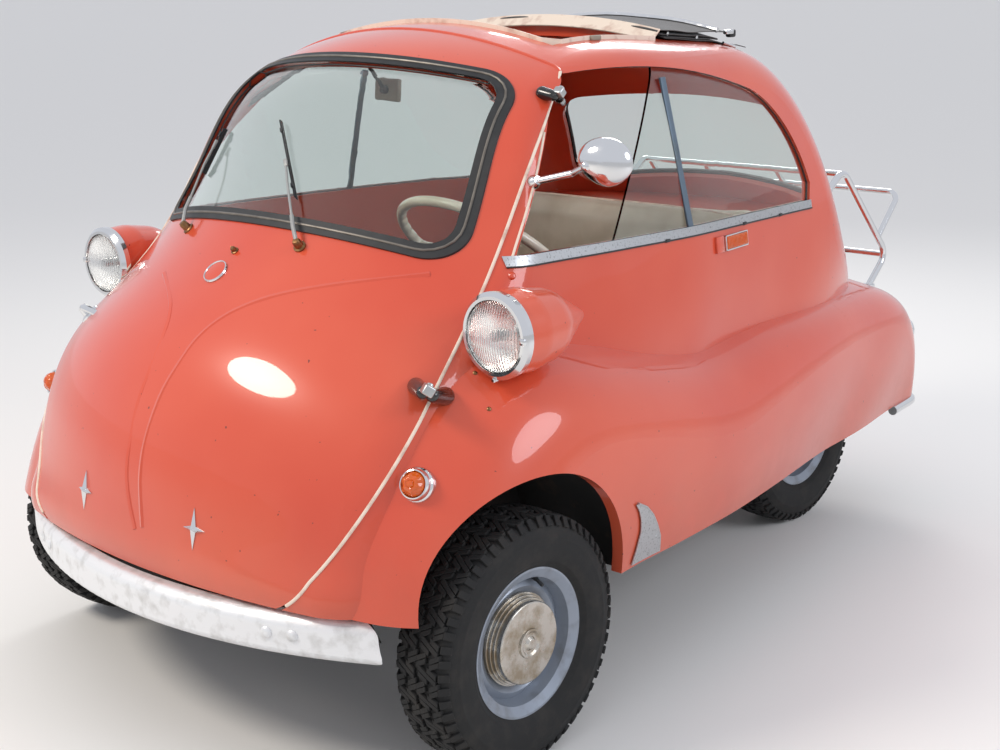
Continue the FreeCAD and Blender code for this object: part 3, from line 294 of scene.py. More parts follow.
def piece(name, shape, body, look, stands_for=(), angle=35.0, tidy=True):
    """Makes one named piece of a shape, in the finish of a name, and riding on a body."""
    if tidy:
        bmesh.ops.recalc_face_normals(shape, faces=shape.faces)
    mesh = bpy.data.meshes.new(name)
    shape.to_mesh(mesh)
    shape.free()
    mesh.shade_smooth()
    mesh.set_sharp_from_angle(angle=math.radians(angle))
    mesh.materials.append(finish(look))
    made = bpy.data.objects.new(name, mesh)
    bpy.context.scene.collection.objects.link(made)
    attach(made, body)
    if stands_for:
        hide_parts(*stands_for)
    return made


# Materials
def add(tree, kind, inputs=None, to=None, **settings):
    """Adds one node with its settings, its values or links, and one link from its output to a later socket."""
    made = tree.nodes.new("ShaderNode" + kind)
    for name, value in settings.items():
        setattr(made, name, value)
    for key, value in (inputs or {}).items():
        if isinstance(value, bpy.types.NodeSocket):
            tree.links.new(value, made.inputs[key])
        else:
            made.inputs[key].default_value = value
    if to:
        tree.links.new(made.outputs[to[0]], to[1])
    return made


def shade(colour):
    """A colour given as sRGB hex or as scene-linear values, as scene-linear values."""
    return linear(colour) if isinstance(colour, str) else colour


def start_finish(name, colour, roughness, metallic=0.0, **sockets):
    """A material with its shader's own values, and object coordinates to pattern it."""
    made = bpy.data.materials.new(name)
    made.use_nodes = True
    tree = made.node_tree
    shader = tree.nodes["Principled BSDF"]
    values = {"Base Color": shade(colour), "Roughness": roughness, "Metallic": metallic}
    values.update({socket.replace("_", " "): value for socket, value in sockets.items()})
    for socket, value in values.items():
        shader.inputs[socket].default_value = value
    return made, tree, shader, add(tree, "TexCoord").outputs["Object"]


def noise_of(tree, coords, values):
    """A noise of a scale, a detail and, if given, a roughness."""
    return add(tree, "TexNoise", {"Vector": coords, **dict(zip(("Scale", "Detail", "Roughness"), values))}).outputs[0]


def ranged(tree, value, low, high, least=0.0, most=1.0, **target):
    """A value stretched from one range to another."""
    return add(tree, "MapRange", {
        "Value": value, "From Min": low, "From Max": high, "To Min": least, "To Max": most}, **target).outputs[0]


def mixed(tree, share, first, second, **target):
    """A share between two colours."""
    return add(tree, "Mix", {0: share, 6: first, 7: second}, data_type="RGBA", **target).outputs[2]


def product(tree, first, second):
    """Two values multiplied."""
    return add(tree, "Math", {0: first, 1: second}, operation="MULTIPLY").outputs[0]


def relief(tree, shader, height, strength, distance, under=None):
    """Bumps of a height on a shader, over other bumps if given."""
    values = {"Height": height, "Strength": strength, "Distance": distance}
    if under:
        values["Normal"] = under
    return add(tree, "Bump", values, to=(0, shader.inputs["Normal"])).outputs[0]


def surfaced(name, colour, roughness, metallic=0.0, noise=None, between=None, tint=None, shine=None,
             shine_on_tint=False, grain=None, bump=None, **sockets):
    """A finish patterned by one noise: two tints, a range of roughness and a relief.

    noise and grain are scale, detail and roughness. between is the noise at which the second tint starts
    and is full, and its most. shine is the least and most roughness, and the noise at them. grain is the
    relief's own noise. bump is its strength and height.
    """
    made, tree, shader, coords = start_finish(name, colour, roughness, metallic, **sockets)
    film = noise_of(tree, coords, noise) if noise else None
    share = film
    if between:
        low, high, most = (*between, 1.0)[:3]
        share = ranged(tree, film, low, high, most=most)
    if tint:
        mixed(tree, share, shade(tint[0]), shade(tint[1]), to=(2, shader.inputs["Base Color"]))
    if shine:
        least, most, low, high = shine if len(shine) == 4 else (*shine, 0.0, 1.0)
        ranged(tree, share if shine_on_tint else film, low, high, least, most, to=(0, shader.inputs["Roughness"]))
    if bump:
        relief(tree, shader, noise_of(tree, coords, grain) if grain else film, *bump)
    return made


SURFACES = {
    # Silver-grey wheel enamel on a pressed rim, its colour painted darker to stand for the shade under the wheel
    # arch: satin, a little brake dust in the well.
    "wheel_enamel_painted_shade": dict(
        colour="#868F9B", roughness=0.34, metallic=0.35, Coat_Weight=0.3, noise=(26.0, 6.0),
        between=(0.48, 0.78, 0.6), tint=("#8A929E", "#5A5751"), shine=(0.26, 0.5)),
    # Chrome plate on brass, polished for decades: mirror bright with faint hazing.
    "old_chrome": dict(
        colour="#DEDFE0", roughness=0.07, metallic=1.0, noise=(45.0, 6.0, 0.7), shine=(0.045, 0.22, 0.4, 0.75),
        bump=(0.08, 0.0004)),
    # Nickel plate worn through to brass: mottled grey and warm patches, scratched satin.
    "worn_hub_plate": dict(
        colour="#B8B0A2", roughness=0.3, metallic=1.0, noise=(17.0, 5.0, 0.62), between=(0.42, 0.6),
        tint=("#C6C2BA", "#A19583"), shine=(0.17, 0.42), shine_on_tint=True, grain=(380.0, 3.0),
        bump=(0.18, 0.0005)),
    # Bare rolled aluminium, dulled outdoors: pale satin with dark oxide specks and fine scratches.
    "weathered_aluminium": dict(
        colour="#B4B6B8", roughness=0.4, metallic=1.0, noise=(210.0, 4.0, 0.7), between=(0.56, 0.68),
        tint=("#BCBEC0", "#6F706F"), shine=(0.25, 0.6), bump=(0.25, 0.0004)),
    # Bare zinc casting of the hinge knuckles: dull silver, grainy.
    "die_cast_zinc": dict(colour="#B9BBBA", roughness=0.36, metallic=1.0, noise=(320.0, 3.0), bump=(0.3, 0.0005)),
    # Turned brass of the washer jet and of the worn wiper seats: warm, tarnished brown in the hollows.
    "yellow_brass": dict(
        colour="#8A6A4C", roughness=0.38, metallic=1.0, noise=(90.0, 4.0), tint=("#A98257", "#54382A")),
    # Extruded rubber of seals and channels: near black, satin, slightly chalky with age.
    "seal_rubber": dict(
        colour="#191A1B", roughness=0.5, noise=(60.0, 5.0), tint=("#131415", "#2E2F30"), bump=(0.1, 0.0004)),
    # Vulcanised tyre rubber: matt black, a little road dust on the walls and in the grooves.
    "tyre_rubber": dict(
        colour="#161616", roughness=0.8, noise=(21.0, 8.0, 0.66), between=(0.46, 0.86),
        tint=("#151515", "#2E2A26"), grain=(520.0, 2.0), bump=(0.35, 0.0006)),
    # Toughened float glass: clear with a faint green edge.
    "window_glass": dict(colour="#EEF5F2", roughness=0.0, Transmission_Weight=1.0, IOR=1.45),
    # Pressed lamp glass: clear, with its flutes in the shape itself.
    "lamp_glass": dict(colour="#FFFFFF", roughness=0.02, Transmission_Weight=1.0, IOR=1.45),
    # Vacuum-silvered reflector: the brightest mirror on the car.
    "lamp_silver": dict(colour="#F2F2F0", roughness=0.12, metallic=1.0),
    # Moulded amber acrylic: clear enough to glow where the light gets in.
    "amber_plastic": dict(
        colour="#F06A08", roughness=0.12, Transmission_Weight=0.35, Coat_Weight=0.6, Subsurface_Weight=0.2,
        Subsurface_Radius=(0.01, 0.004, 0.001)),
    # Moulded red acrylic of the tail lamps.
    "red_plastic": dict(colour="#A8120C", roughness=0.14, Transmission_Weight=0.25, Coat_Weight=0.6),
    # Black stove lacquer on the hinge arms: glossy, worn grey on its edges.
    "hinge_lacquer": dict(
        colour="#141414", roughness=0.22, Coat_Weight=0.5, noise=(120.0, 3.0), between=(0.62, 0.72),
        tint=("#121313", "#5A5551")),
    # Bitumen-black chassis paint: matt and dusty, rusty where stones hit it.
    "chassis_black": dict(
        colour="#1A1917", roughness=0.7, noise=(13.0, 7.0, 0.7), between=(0.52, 0.75),
        tint=("#1A1918", "#4B372A"), bump=(0.3, 0.0015)),
    # Sand-cast and forged axle steel: dark, scaly, oily dust over it.
    "cast_steel": dict(
        colour="#3A3733", roughness=0.62, metallic=0.6, noise=(70.0, 7.0, 0.7), tint=("#46423D", "#3B2A20"),
        bump=(0.4, 0.001)),
    # Sand-cast engine alloy: grey and grainy.
    "cast_alloy": dict(colour="#85857F", roughness=0.55, metallic=0.9, noise=(240.0, 4.0), bump=(0.4, 0.0008)),
    # Grey-beige plastic of the driving mirror's back and of the roof's catches: matt, faintly stained.
    "trim_card": dict(
        colour="#9C9484", roughness=0.72, noise=(9.0, 6.0), tint=("#A9A294", "#7C7363"), grain=(500.0, 2.0),
        bump=(0.25, 0.0005)),
    # Ivory moulded plastic of the steering wheel: glossy, a little yellowed.
    "ivory_bakelite": dict(
        colour="#E3DCCB", roughness=0.25, Coat_Weight=0.4, noise=(14.0, 4.0), tint=("#EBE6DA", "#CFC4A8")),
    # Satin black of the instrument's face and of the roof's latches.
    "dial_black": dict(colour="#101112", roughness=0.4),
    # Silver-grey lacquer on the wiper arms: satin and scuffed.
    "dull_wiper_silver": dict(colour="#A9A9A6", roughness=0.4, metallic=0.7, noise=(140.0, 4.0), shine=(0.25, 0.6)),
    # Metallised filler strip of the windscreen seal, its silver mostly rubbed off: grey-brown satin.
    "worn_filler": dict(
        colour="#746D65", roughness=0.38, metallic=0.4, noise=(38.0, 4.0), tint=("#8B857C", "#4A433C")),
    # Enamelled plate blank: white, slightly grey with dust.
    "plate_white": dict(colour="#DCDAD3", roughness=0.35, noise=(18.0, 5.0), tint=("#E2E0DA", "#C2BBAE")),
    # Grey-blue anodised channel in which the side pane slides: satin.
    "channel_grey": dict(colour="#5F6E7C", roughness=0.4, metallic=0.5, noise=(90.0, 4.0), shine=(0.3, 0.55)),
}


def coral_enamel():
    # Two-pack car enamel, sprayed on pressed steel and waxed: deep gloss over a fine orange peel, with
    # long soft dents on the lower flank, road dust along the sills and a few stone chips.
    looks = bpy.context.scene.bubble_car
    made, tree, shader, coords = start_finish(
        "coral_enamel", (*looks.paint, 1.0), 0.3, Coat_Weight=0.85, Coat_Roughness=0.03, Coat_IOR=1.5,
        Specular_IOR_Level=0.25)
    place = add(tree, "SeparateXYZ", {0: coords}).outputs
    bleached = ranged(tree, noise_of(tree, coords, (2.4, 3.0)), 0.35, 0.7)
    faded = mixed(tree, bleached, (*looks.paint, 1.0), (*looks.faded_paint, 1.0))
    low = ranged(tree, place["Z"], 0.56, 0.3, 0.0, 0.45)
    dust = product(tree, low, noise_of(tree, coords, (11.0, 7.0, 0.65)))
    dusted = mixed(tree, dust, faded, linear("#8E5F49"))
    chip = ranged(tree, noise_of(tree, coords, (95.0, 1.0)), 0.79, 0.82)
    mixed(tree, chip, dusted, linear("#7D3A2C"), to=(2, shader.inputs["Base Color"]))
    ranged(tree, dust, 0.0, 0.6, 0.28, 0.62, to=(0, shader.inputs["Roughness"]))
    # The dents lie on the outer skin, below the waist and behind the front wheels
    side = add(tree, "Math", {0: place["X"]}, operation="ABSOLUTE").outputs[0]
    outer = ranged(tree, side, 0.5, 0.62)
    under = ranged(tree, place["Z"], 0.72, 0.55)
    behind = ranged(tree, place["Y"], -0.6, -0.35)
    long_waves = add(tree, "Mapping", {"Vector": coords, "Scale": (1.0, 0.42, 1.0)}).outputs[0]
    dents = product(tree, noise_of(tree, long_waves, (9.5, 0.6)), product(tree, product(tree, outer, under), behind))
    dented = add(tree, "Bump", {"Height": dents, "Strength": 0.8, "Distance": 0.006}).outputs[0]
    relief(tree, shader, noise_of(tree, coords, (430.0, 1.0)), 0.06, 0.0006, dented)
    return made


def brushed_on_silver():
    # Aluminium paint put on a steel bumper by brush: satin, streaked along the bar, lumpy where it pooled,
    # grey where dirt sits in the lumps.
    made, tree, shader, coords = start_finish("brushed_on_silver", "#E0E1E3", 0.36, 0.3)
    streaks = add(tree, "Mapping", {"Vector": coords, "Scale": (6.0, 14.0, 60.0)}).outputs[0]
    lumps = noise_of(tree, coords, (34.0, 4.0))
    mixed(tree, ranged(tree, lumps, 0.5, 0.85), linear("#E4E5E6"), linear("#B7B6B3"),
          to=(2, shader.inputs["Base Color"]))
    pooled = add(tree, "Bump", {"Height": lumps, "Strength": 0.3, "Distance": 0.0018}).outputs[0]
    relief(tree, shader, noise_of(tree, streaks, (6.0, 5.0)), 0.35, 0.0006, pooled)
    return made


def bead_vinyl():
    # Cream vinyl piping and paint-edge bead: satin, dirty in places.
    bead = (*bpy.context.scene.bubble_car.bead, 1.0)
    return surfaced("bead_vinyl", bead, 0.42, noise=(30.0, 5.0), between=(0.5, 0.8), tint=(bead, "#B58F7C"))


def cream_vinyl():
    # Embossed seat vinyl over foam: cream, soft sheen, leather-like grain about 1.5 mm across.
    made, tree, shader, coords = start_finish("cream_vinyl", "#D9D2BF", 0.5, Sheen_Weight=0.1)
    aged = ranged(tree, noise_of(tree, coords, (7.0, 5.0)), 0.4, 0.75)
    mixed(tree, aged, linear("#DDD6C4"), linear("#B9AD95"), to=(2, shader.inputs["Base Color"]))
    grain = add(tree, "TexVoronoi", {"Vector": coords, "Scale": 620.0}, feature="DISTANCE_TO_EDGE")
    relief(tree, shader, grain.outputs["Distance"], 0.3, 0.0005)
    return made


def roof_cloth():
    # Rubberised cotton roof cloth: charcoal, plain weave drawn at 2.2 mm, coarser than the real 0.8 mm,
    # so that it shows.
    made, tree, shader, coords = start_finish("roof_cloth", "#2B2A2A", 0.88, Sheen_Weight=0.2)
    warp, weft = (
        add(tree, "TexWave", {"Vector": coords, "Scale": 72.0}, bands_direction=side).outputs["Fac"] for side in "XY")
    mixed(tree, noise_of(tree, coords, (8.0, 5.0)), linear("#242323"), linear("#45423F"),
          to=(2, shader.inputs["Base Color"]))
    relief(tree, shader, product(tree, warp, weft), 0.5, 0.0007)
    return made


def studio_floor():
    # Painted studio floor: pale, matt, without any pattern.
    return surfaced("studio_floor", (*bpy.context.scene.bubble_car.floor, 1.0), 0.85)


OWN_MAKERS = {made.__name__: made for made in (
    coral_enamel, brushed_on_silver, bead_vinyl, cream_vinyl, roof_cloth, studio_floor)}
FINISHES = {}


def finish(name):
    """The finish of that name, made the first time that it is asked for."""
    if name not in FINISHES:
        FINISHES[name] = OWN_MAKERS[name]() if name in OWN_MAKERS else surfaced(name, **SURFACES[name])
    return FINISHES[name]


# Sizes and colours that a user would change
def colour_setting(name, description, code):
    """A colour property that starts at an sRGB hex colour."""
    return FloatVectorProperty(
        name=name, description=description, subtype="COLOR", size=3, default=linear(code)[:3], min=0.0, max=1.0)


class BubbleCarLooks(bpy.types.PropertyGroup):
    """Colours of the car's painted and trimmed surfaces."""
    paint: colour_setting("Body paint", "Fresh coral enamel", "#CC482E")
    faded_paint: colour_setting("Faded paint", "Coral enamel where the sun has bleached it", "#D4583C")
    bead: colour_setting("Bead", "Cream bead along the door seam and window edge", "#E6D6C4")
    floor: colour_setting("Floor", "Pale studio floor", "#E9E7E3")


class BubbleCarSizes(bpy.types.PropertyGroup):
    """Sizes of the pieces added to the frame."""
    bead_radius: FloatProperty(
        name="Seam bead radius", description="Half the width of the bead in the door seam", unit="LENGTH",
        default=0.0034, min=0.001, max=0.0036)
    tread_depth: FloatProperty(
        name="Tread depth", description="Height of a tread block", unit="LENGTH", default=0.007, min=0.001,
        max=0.009)
    tread_pitches: IntProperty(
        name="Tread pitches", description="Blocks round a tyre", default=58, min=20, max=90)
    wheel_scallops: IntProperty(
        name="Finger grips", description="Scallops round the steering wheel", default=36, min=8, max=60)
    flutes: FloatProperty(
        name="Flute spacing", description="Distance between the headlamp glass flutes", unit="LENGTH",
        default=0.0056, min=0.002, max=0.02)
    key_power: FloatProperty(
        name="Key light", description="Power of the large soft light", unit="POWER", default=105.0, min=0.0,
        max=2000.0)
    world_strength: FloatProperty(
        name="Sky light", description="Strength of the light from all round", default=0.82, min=0.0, max=2.0)


# Lines of the drawing that the trim follows
# Columns: x, climb of the door seam's left half, from its top to its foot: ends and middles of arcs
SEAM = [
    (395, 612), (425, 602), (437, 560), (505, 230), (556, -190),
    (548, -350), (490, -570), (447, -650), (360, -690),
]
SEAM_HEAD = 590.0
SEAM_REACH = 1180.0
SIGHT_REACH = 350.0
# Columns: x, climb of the windscreen's corners and of its bowed edges' middles
SCREEN_CORNERS = [(-425, 142), (425, 142), (380, 520), (-380, 520)]
SCREEN_BOWS = [(0, 103), None, (0, 482), None]
SCREEN_BEND = 62.0
# Columns: y, z of the side window's edge; ends and middles of its arcs
WINDOW_SILL_REAR = (440.0, 908.0)
WINDOW_SILL_FRONT = (-655.0, 930.0)
WINDOW_FRONT_TOP = (-455.0, 1228.0)
WINDOW_FRONT_CORNER = (-436.0, 1243.0)
WINDOW_TOP_FRONT = (-400.0, 1250.0)
WINDOW_TOP_MIDDLE = (-60.0, 1243.0)
WINDOW_TOP_REAR = (240.0, 1180.0)
WINDOW_REAR_MIDDLE = (372.0, 1085.0)
WINDOW_REAR_LOW = (452.0, 950.0)
LEAN_OUT = Vector((0.0, -ROOT_HALF, ROOT_HALF))
BODY_PANELS = ("side_left", "side_right", "roof_panel", "rear_panel", "tail_panel")
UP = Vector((0.0, 0.0, 1.0))


def arc_points(start, middle, end, steps):
    """Even points on the arc through three points of a plane, without the last."""
    (ax, ay), (bx, by), (cx, cy) = start, middle, end
    a, b, c = ax * ax + ay * ay, bx * bx + by * by, cx * cx + cy * cy
    area = 2 * (ax * (by - cy) + bx * (cy - ay) + cx * (ay - by))
    centre_x = (a * (by - cy) + b * (cy - ay) + c * (ay - by)) / area
    centre_y = (a * (cx - bx) + b * (ax - cx) + c * (bx - ax)) / area
    radius = math.hypot(ax - centre_x, ay - centre_y)
    first, inside, last = (math.atan2(y - centre_y, x - centre_x) for x, y in (start, middle, end))
    sweep = (last - first) % math.tau
    if (inside - first) % math.tau > sweep:
        sweep -= math.tau
    turns = [first + sweep * step / steps for step in range(steps)]
    return [(centre_x + radius * math.cos(t), centre_y + radius * math.sin(t)) for t in turns]


def line_points(start, end, steps):
    """Even points on a line, without the last."""
    return [tuple(Vector(start).lerp(Vector(end), step / steps)) for step in range(steps)]


def seam_outline():
    """The door seam on its plane, from the right foot over the roof to the left foot."""
    half = []
    for first in range(0, len(SEAM) - 1, 2):
        half += arc_points(*SEAM[first:first + 3], 14)
    half.append(SEAM[-1])
    top = arc_points((-SEAM[0][0], SEAM[0][1]), (0, SEAM_HEAD), SEAM[0], 30)
    return [(-x, climb) for x, climb in reversed(half)] + top[1:] + half


def grown(outline, distance):
    """A closed outline moved outwards, square to its own run."""
    moved = []
    for index, point in enumerate(outline):
        before, after = Vector(outline[index - 1]), Vector(outline[(index + 1) % len(outline)])
        run = (after - before).normalized()
        moved.append(Vector(point) + Vector((run.y, -run.x)) * distance)
    return moved


def window_edge():
    """The side window's edge from the rear of its sill round by the front, the roof and the rear."""
    return (
        line_points(WINDOW_SILL_REAR, WINDOW_SILL_FRONT, 30)
        + line_points(WINDOW_SILL_FRONT, WINDOW_FRONT_TOP, 14)
        + arc_points(WINDOW_FRONT_TOP, WINDOW_FRONT_CORNER, WINDOW_TOP_FRONT, 5)
        + arc_points(WINDOW_TOP_FRONT, WINDOW_TOP_MIDDLE, WINDOW_TOP_REAR, 20)
        + arc_points(WINDOW_TOP_REAR, WINDOW_REAR_MIDDLE, WINDOW_REAR_LOW, 12)
        + line_points(WINDOW_REAR_LOW, WINDOW_SILL_REAR, 3))


class BUBBLECAR_OT_paint(bpy.types.Operator):
    """Finish every node of the frame that stays shown"""
    bl_idname = "bubblecar.paint"
    bl_label = "Paint the body and chassis"

    # Finish: the nodes that wear it
    WORN_BY = {
        "coral_enamel": (*BODY_PANELS, "door_shell", "headlamp_pods", "parcel_shelf", "dash_panel"),
        "chassis_black": ("wheel_houses", "floor_pan", "chassis_frame", "front_axle_beam", "bumper_irons",
                          "seat_base", "steering_column"),
        "cast_steel": ("rear_axle_housing", "rear_axle_shaft", "leaf_springs", "exhaust", "knuckle_left",
                       "knuckle_right"),
        "cast_alloy": ("engine_block",),
        "brushed_on_silver": ("front_bumper",),
        "old_chrome": ("lamp_rings", "luggage_rack", "rear_bumpers"),
        "wheel_enamel_painted_shade": ("rim_front_left", "rim_front_right", "rear_rims"),
        "worn_hub_plate": ("hub_cap_front_left", "hub_cap_front_right"),
        "seal_rubber": ("windscreen_seal",),
        "window_glass": ("windscreen_glass", "rear_glass", "side_glass"),
        "red_plastic": ("tail_lamps",),
    }

    def execute(self, context):
        for look, names in self.WORN_BY.items():
            for name in names:
                for place in NODES[name].material_slots:
                    place.material = finish(look)
        return {"FINISHED"}


class BUBBLECAR_OT_seam(bpy.types.Operator):
    """Lay the bead in the door seam, cream below and painted over the roof, and raise the door's creases"""
    bl_idname = "bubblecar.seam"
    bl_label = "Seam bead and creases"

    # How far the rays to the door and to the body pass each side of the seam, as a share of its width
    SIDE_STEP = 0.013
    FAR = 1.9
    WIDEST_STEP = 0.03
    PAINTED_ABOVE = 1.2
    # Columns: u, v of the photograph's pixels along each crease of the door
    CREASES = [
        [(142, 527), (140, 495), (140, 472), (144, 443), (154, 411), (164, 387), (179, 363), (196, 338),
         (221, 317), (250, 303), (279, 294), (330, 285), (380, 279), (430, 274)],
        [(135, 529), (129, 504), (126, 472), (129, 447), (137, 403), (149, 372), (164, 334), (170, 315),
         (171, 296), (164, 273)],
    ]
    CREASE_RADIUS = 0.009
    CREASE_SINK = 0.0062

    def execute(self, context):
        sizes = context.scene.bubble_car_sizes
        door, body = skin("door_shell"), skin(*BODY_PANELS)
        sight = lean(0, 0, SIGHT_REACH)
        line = []
        for x, climb in seam_outline():
            hits = []
            for tree, share in ((door, 1 - self.SIDE_STEP), (body, 1 + self.SIDE_STEP)):
                run = (lean(x * share, climb * share, SEAM_REACH) - sight).normalized()
                hits.append(cast(tree, sight + run * self.FAR, -run))
            if all(hits) and (hits[0][0] - hits[1][0]).length < self.WIDEST_STEP:
                line.append((hits[0][0] + hits[1][0]) / 2)
        high = [index for index, place in enumerate(line) if place.z > self.PAINTED_ABOVE]
        bead, painted = blanks(2)
        bent_rod(bead, line[:high[0] + 1], sizes.bead_radius)
        bent_rod(bead, line[high[-1]:], sizes.bead_radius)
        bent_rod(painted, line[high[0]:high[-1] + 1], sizes.bead_radius)
        piece("seam_bead", bead, "root", "bead_vinyl")
        piece("seam_bead_roof", painted, "root", "coral_enamel")
        creases = bmesh.new()
        for pixels in self.CREASES:
            places = [seen(door, u, v) for u, v in pixels]
            bent_rod(creases, [place - normal * self.CREASE_SINK for place, normal in places],
                     self.CREASE_RADIUS, smooth=True)
        piece("door_creases", creases, "door", "coral_enamel")
        return {"FINISHED"}


class BUBBLECAR_OT_screen(bpy.types.Operator):
    """Trim the windscreen: filler strip in its seal, two wipers and the washer jet"""
    bl_idname = "bubblecar.screen"
    bl_label = "Windscreen trim and wipers"

    # Columns: how far out of the glass's edge in millimetres, lift and radius in metres, name, finish, slot
    STRIPS = [
        (7.0, 0.0004, 0.0026, "seal_filler", "worn_filler", "chrome"),
        (-9.5, 0.0006, 0.0018, "seal_lip", "seal_rubber", "black_rubber"),
    ]
    STAND_OFF = 0.011
    CAP_TOP = 0.017
    ARM_THICK, ARM_THIN = 0.0042, 0.0026
    # Columns: u, v of the pivot, of the arm's end, and of the blade's two ends
    WIPERS = [
        ((300, 247), (291, 168), (284, 123), (298, 200)),
        ((189, 229), (222, 148), (207, 175), (229, 131)),
    ]
    # Where the bridge's claws hold the blade, as a share of its length from its middle
    CLAW_SHARE = 0.36
    JET = (235, 251)

    def filler(self, tree, outline, lift, radius, name, look, slot):
        """A thin strip round the seal."""
        line = []
        for x, climb in outline:
            hit = cast(tree, lean(x, climb, 1500), -LEAN_OUT)
            line.append(hit[0] + hit[1] * lift)
        strip = bmesh.new()
        bent_rod(strip, line, radius, closed=True)
        piece(name, strip, "door", look)

    def wiper(self, shapes, tree, pivot, arm_end, blade_low, blade_high):
        """One wiper: seat and cap, tapered arm, and a blade of rubber under a pressed bridge."""
        arms, blades, caps = shapes
        base, out = seen(tree, *pivot)
        turned(caps, "wiper_cap", base, out, 24)
        top = base + out * self.CAP_TOP
        joint_place, joint_out = seen(tree, *arm_end)
        joint = joint_place + joint_out * self.STAND_OFF * 1.6
        middle = top.lerp(joint, 0.3) + out * 0.006
        bent_rod(arms, [top, top.lerp(middle, 0.5) + out * 0.004, middle], self.ARM_THICK)
        bent_rod(arms, [middle, middle.lerp(joint, 0.6) + out * 0.003, joint], self.ARM_THIN)
        low, low_out = seen(tree, *blade_low)
        high, high_out = seen(tree, *blade_high)
        low += low_out * self.STAND_OFF
        high += high_out * self.STAND_OFF
        run = (high - low).normalized()
        centre = (low + high) / 2
        length = (high - low).length * 1000
        face = stand(centre, joint_out, run)
        claw = length * self.CLAW_SHARE
        bars(blades, face, [
            ((0, 0, 0), (3.5, length, 4), 0.8), ((0, 0, -4.5), (1.6, length * 1.02, 8), 0.4),
            ((0, -claw, 2), (6, 12, 5), 1), ((0, claw, 2), (6, 12, 5), 1)])
        bars(arms, stand(joint, joint_out, run), [((0, 0, 0), (8, 20, 6), 1.2)])

    def execute(self, context):
        over = skin("windscreen_seal", "door_shell", "windscreen_glass")
        outline = rounded(SCREEN_CORNERS, SCREEN_BOWS, SCREEN_BEND)
        for grow, *strip in self.STRIPS:
            self.filler(over, grown(outline, grow), *strip)
        shapes = blanks(3)
        for wiper in self.WIPERS:
            self.wiper(shapes, over, *wiper)
        piece("wiper_arms", shapes[0], "door", "dull_wiper_silver")
        piece("wiper_blades", shapes[1], "door", "seal_rubber")
        jet, out = seen(over, *self.JET)
        turned(shapes[2], "washer_jet", jet, out, 20)
        for side in (-1, 1):
            turned(shapes[2], "jet_nozzle", jet + out * 0.0075, Vector((side * 0.9, 0, 0.5)), 10)
        piece("wiper_seats_and_jet", shapes[2], "door", "yellow_brass")
        return {"FINISHED"}


class BUBBLECAR_OT_ornaments(bpy.types.Operator):
    """Fix the two four-point stars, the plain badge disc and the door handle on the door"""
    bl_idname = "bubblecar.ornaments"
    bl_label = "Door ornaments"

    STARS = [(86, 490), (194, 529)]
    # Half height, half width and the waist of a star, and how high its middle stands
    TALL, WIDE, WAIST, PEAK = 0.04, 0.027, 0.0055, 0.008
    BADGE = (216, 272)
    HANDLE = (-455.0, 745.0)
    # Columns: how far each point of the handle's grip stands out, lies along and hangs down, in metres
    GRIP = [(0.02, 0, 0), (0.032, 0.02, 0.004), (0.034, 0.07, 0.012), (0.026, 0.105, 0.018)]
    GRIP_RADIUS = 0.0075

    def star(self, shape, place, out):
        """A faceted star: an eight-cornered plate, raised and drawn up to a peak."""
        set_in = stand(place - out * 0.0015, out, UP)
        corners = []
        for turn_index in range(4):
            angle = math.tau * turn_index / 4
            far = self.TALL if turn_index % 2 else self.WIDE
            corners.append(Vector((math.cos(angle) * far, math.sin(angle) * far, 0)))
            between = angle + math.tau / 8
            corners.append(Vector((math.cos(between), math.sin(between), 0)) * self.WAIST * 1.4)
        face = shape.faces.new([shape.verts.new(set_in @ corner) for corner in corners])
        made = bmesh.ops.extrude_face_region(shape, geom=[face])
        raised = [v for v in made["geom"] if isinstance(v, bmesh.types.BMVert)]
        bmesh.ops.translate(shape, vec=out * 0.0035, verts=raised)
        top = [f for f in made["geom"] if isinstance(f, bmesh.types.BMFace)]
        poked = bmesh.ops.poke(shape, faces=top)
        bmesh.ops.translate(shape, vec=out * self.PEAK, verts=poked["verts"])

    def execute(self, context):
        door = skin("door_shell")
        stars = bmesh.new()
        for pixel in self.STARS:
            self.star(stars, *seen(door, *pixel))
        piece("door_stars", stars, "door", "old_chrome", angle=10)
        ring, disc = blanks(2)
        fitted(ring, "badge_ring", door, [self.BADGE], 48)
        fitted(disc, "badge_disc", door, [self.BADGE], 48)
        piece("badge_ring", ring, "door", "old_chrome")
        piece("badge_disc", disc, "door", "coral_enamel")
        handle = bmesh.new()
        x, z = self.HANDLE
        place, out = cast(door, at(x, -1600, z), Vector((0, 1, 0)))
        turned(handle, "handle_stem", place, out, 28)
        grip = [place + out * proud + Vector((along, 0, -drop)) for proud, along, drop in self.GRIP]
        bent_rod(handle, grip, self.GRIP_RADIUS, smooth=True, rings=3)
        piece("door_handle", handle, "door", "old_chrome")
        return {"FINISHED"}


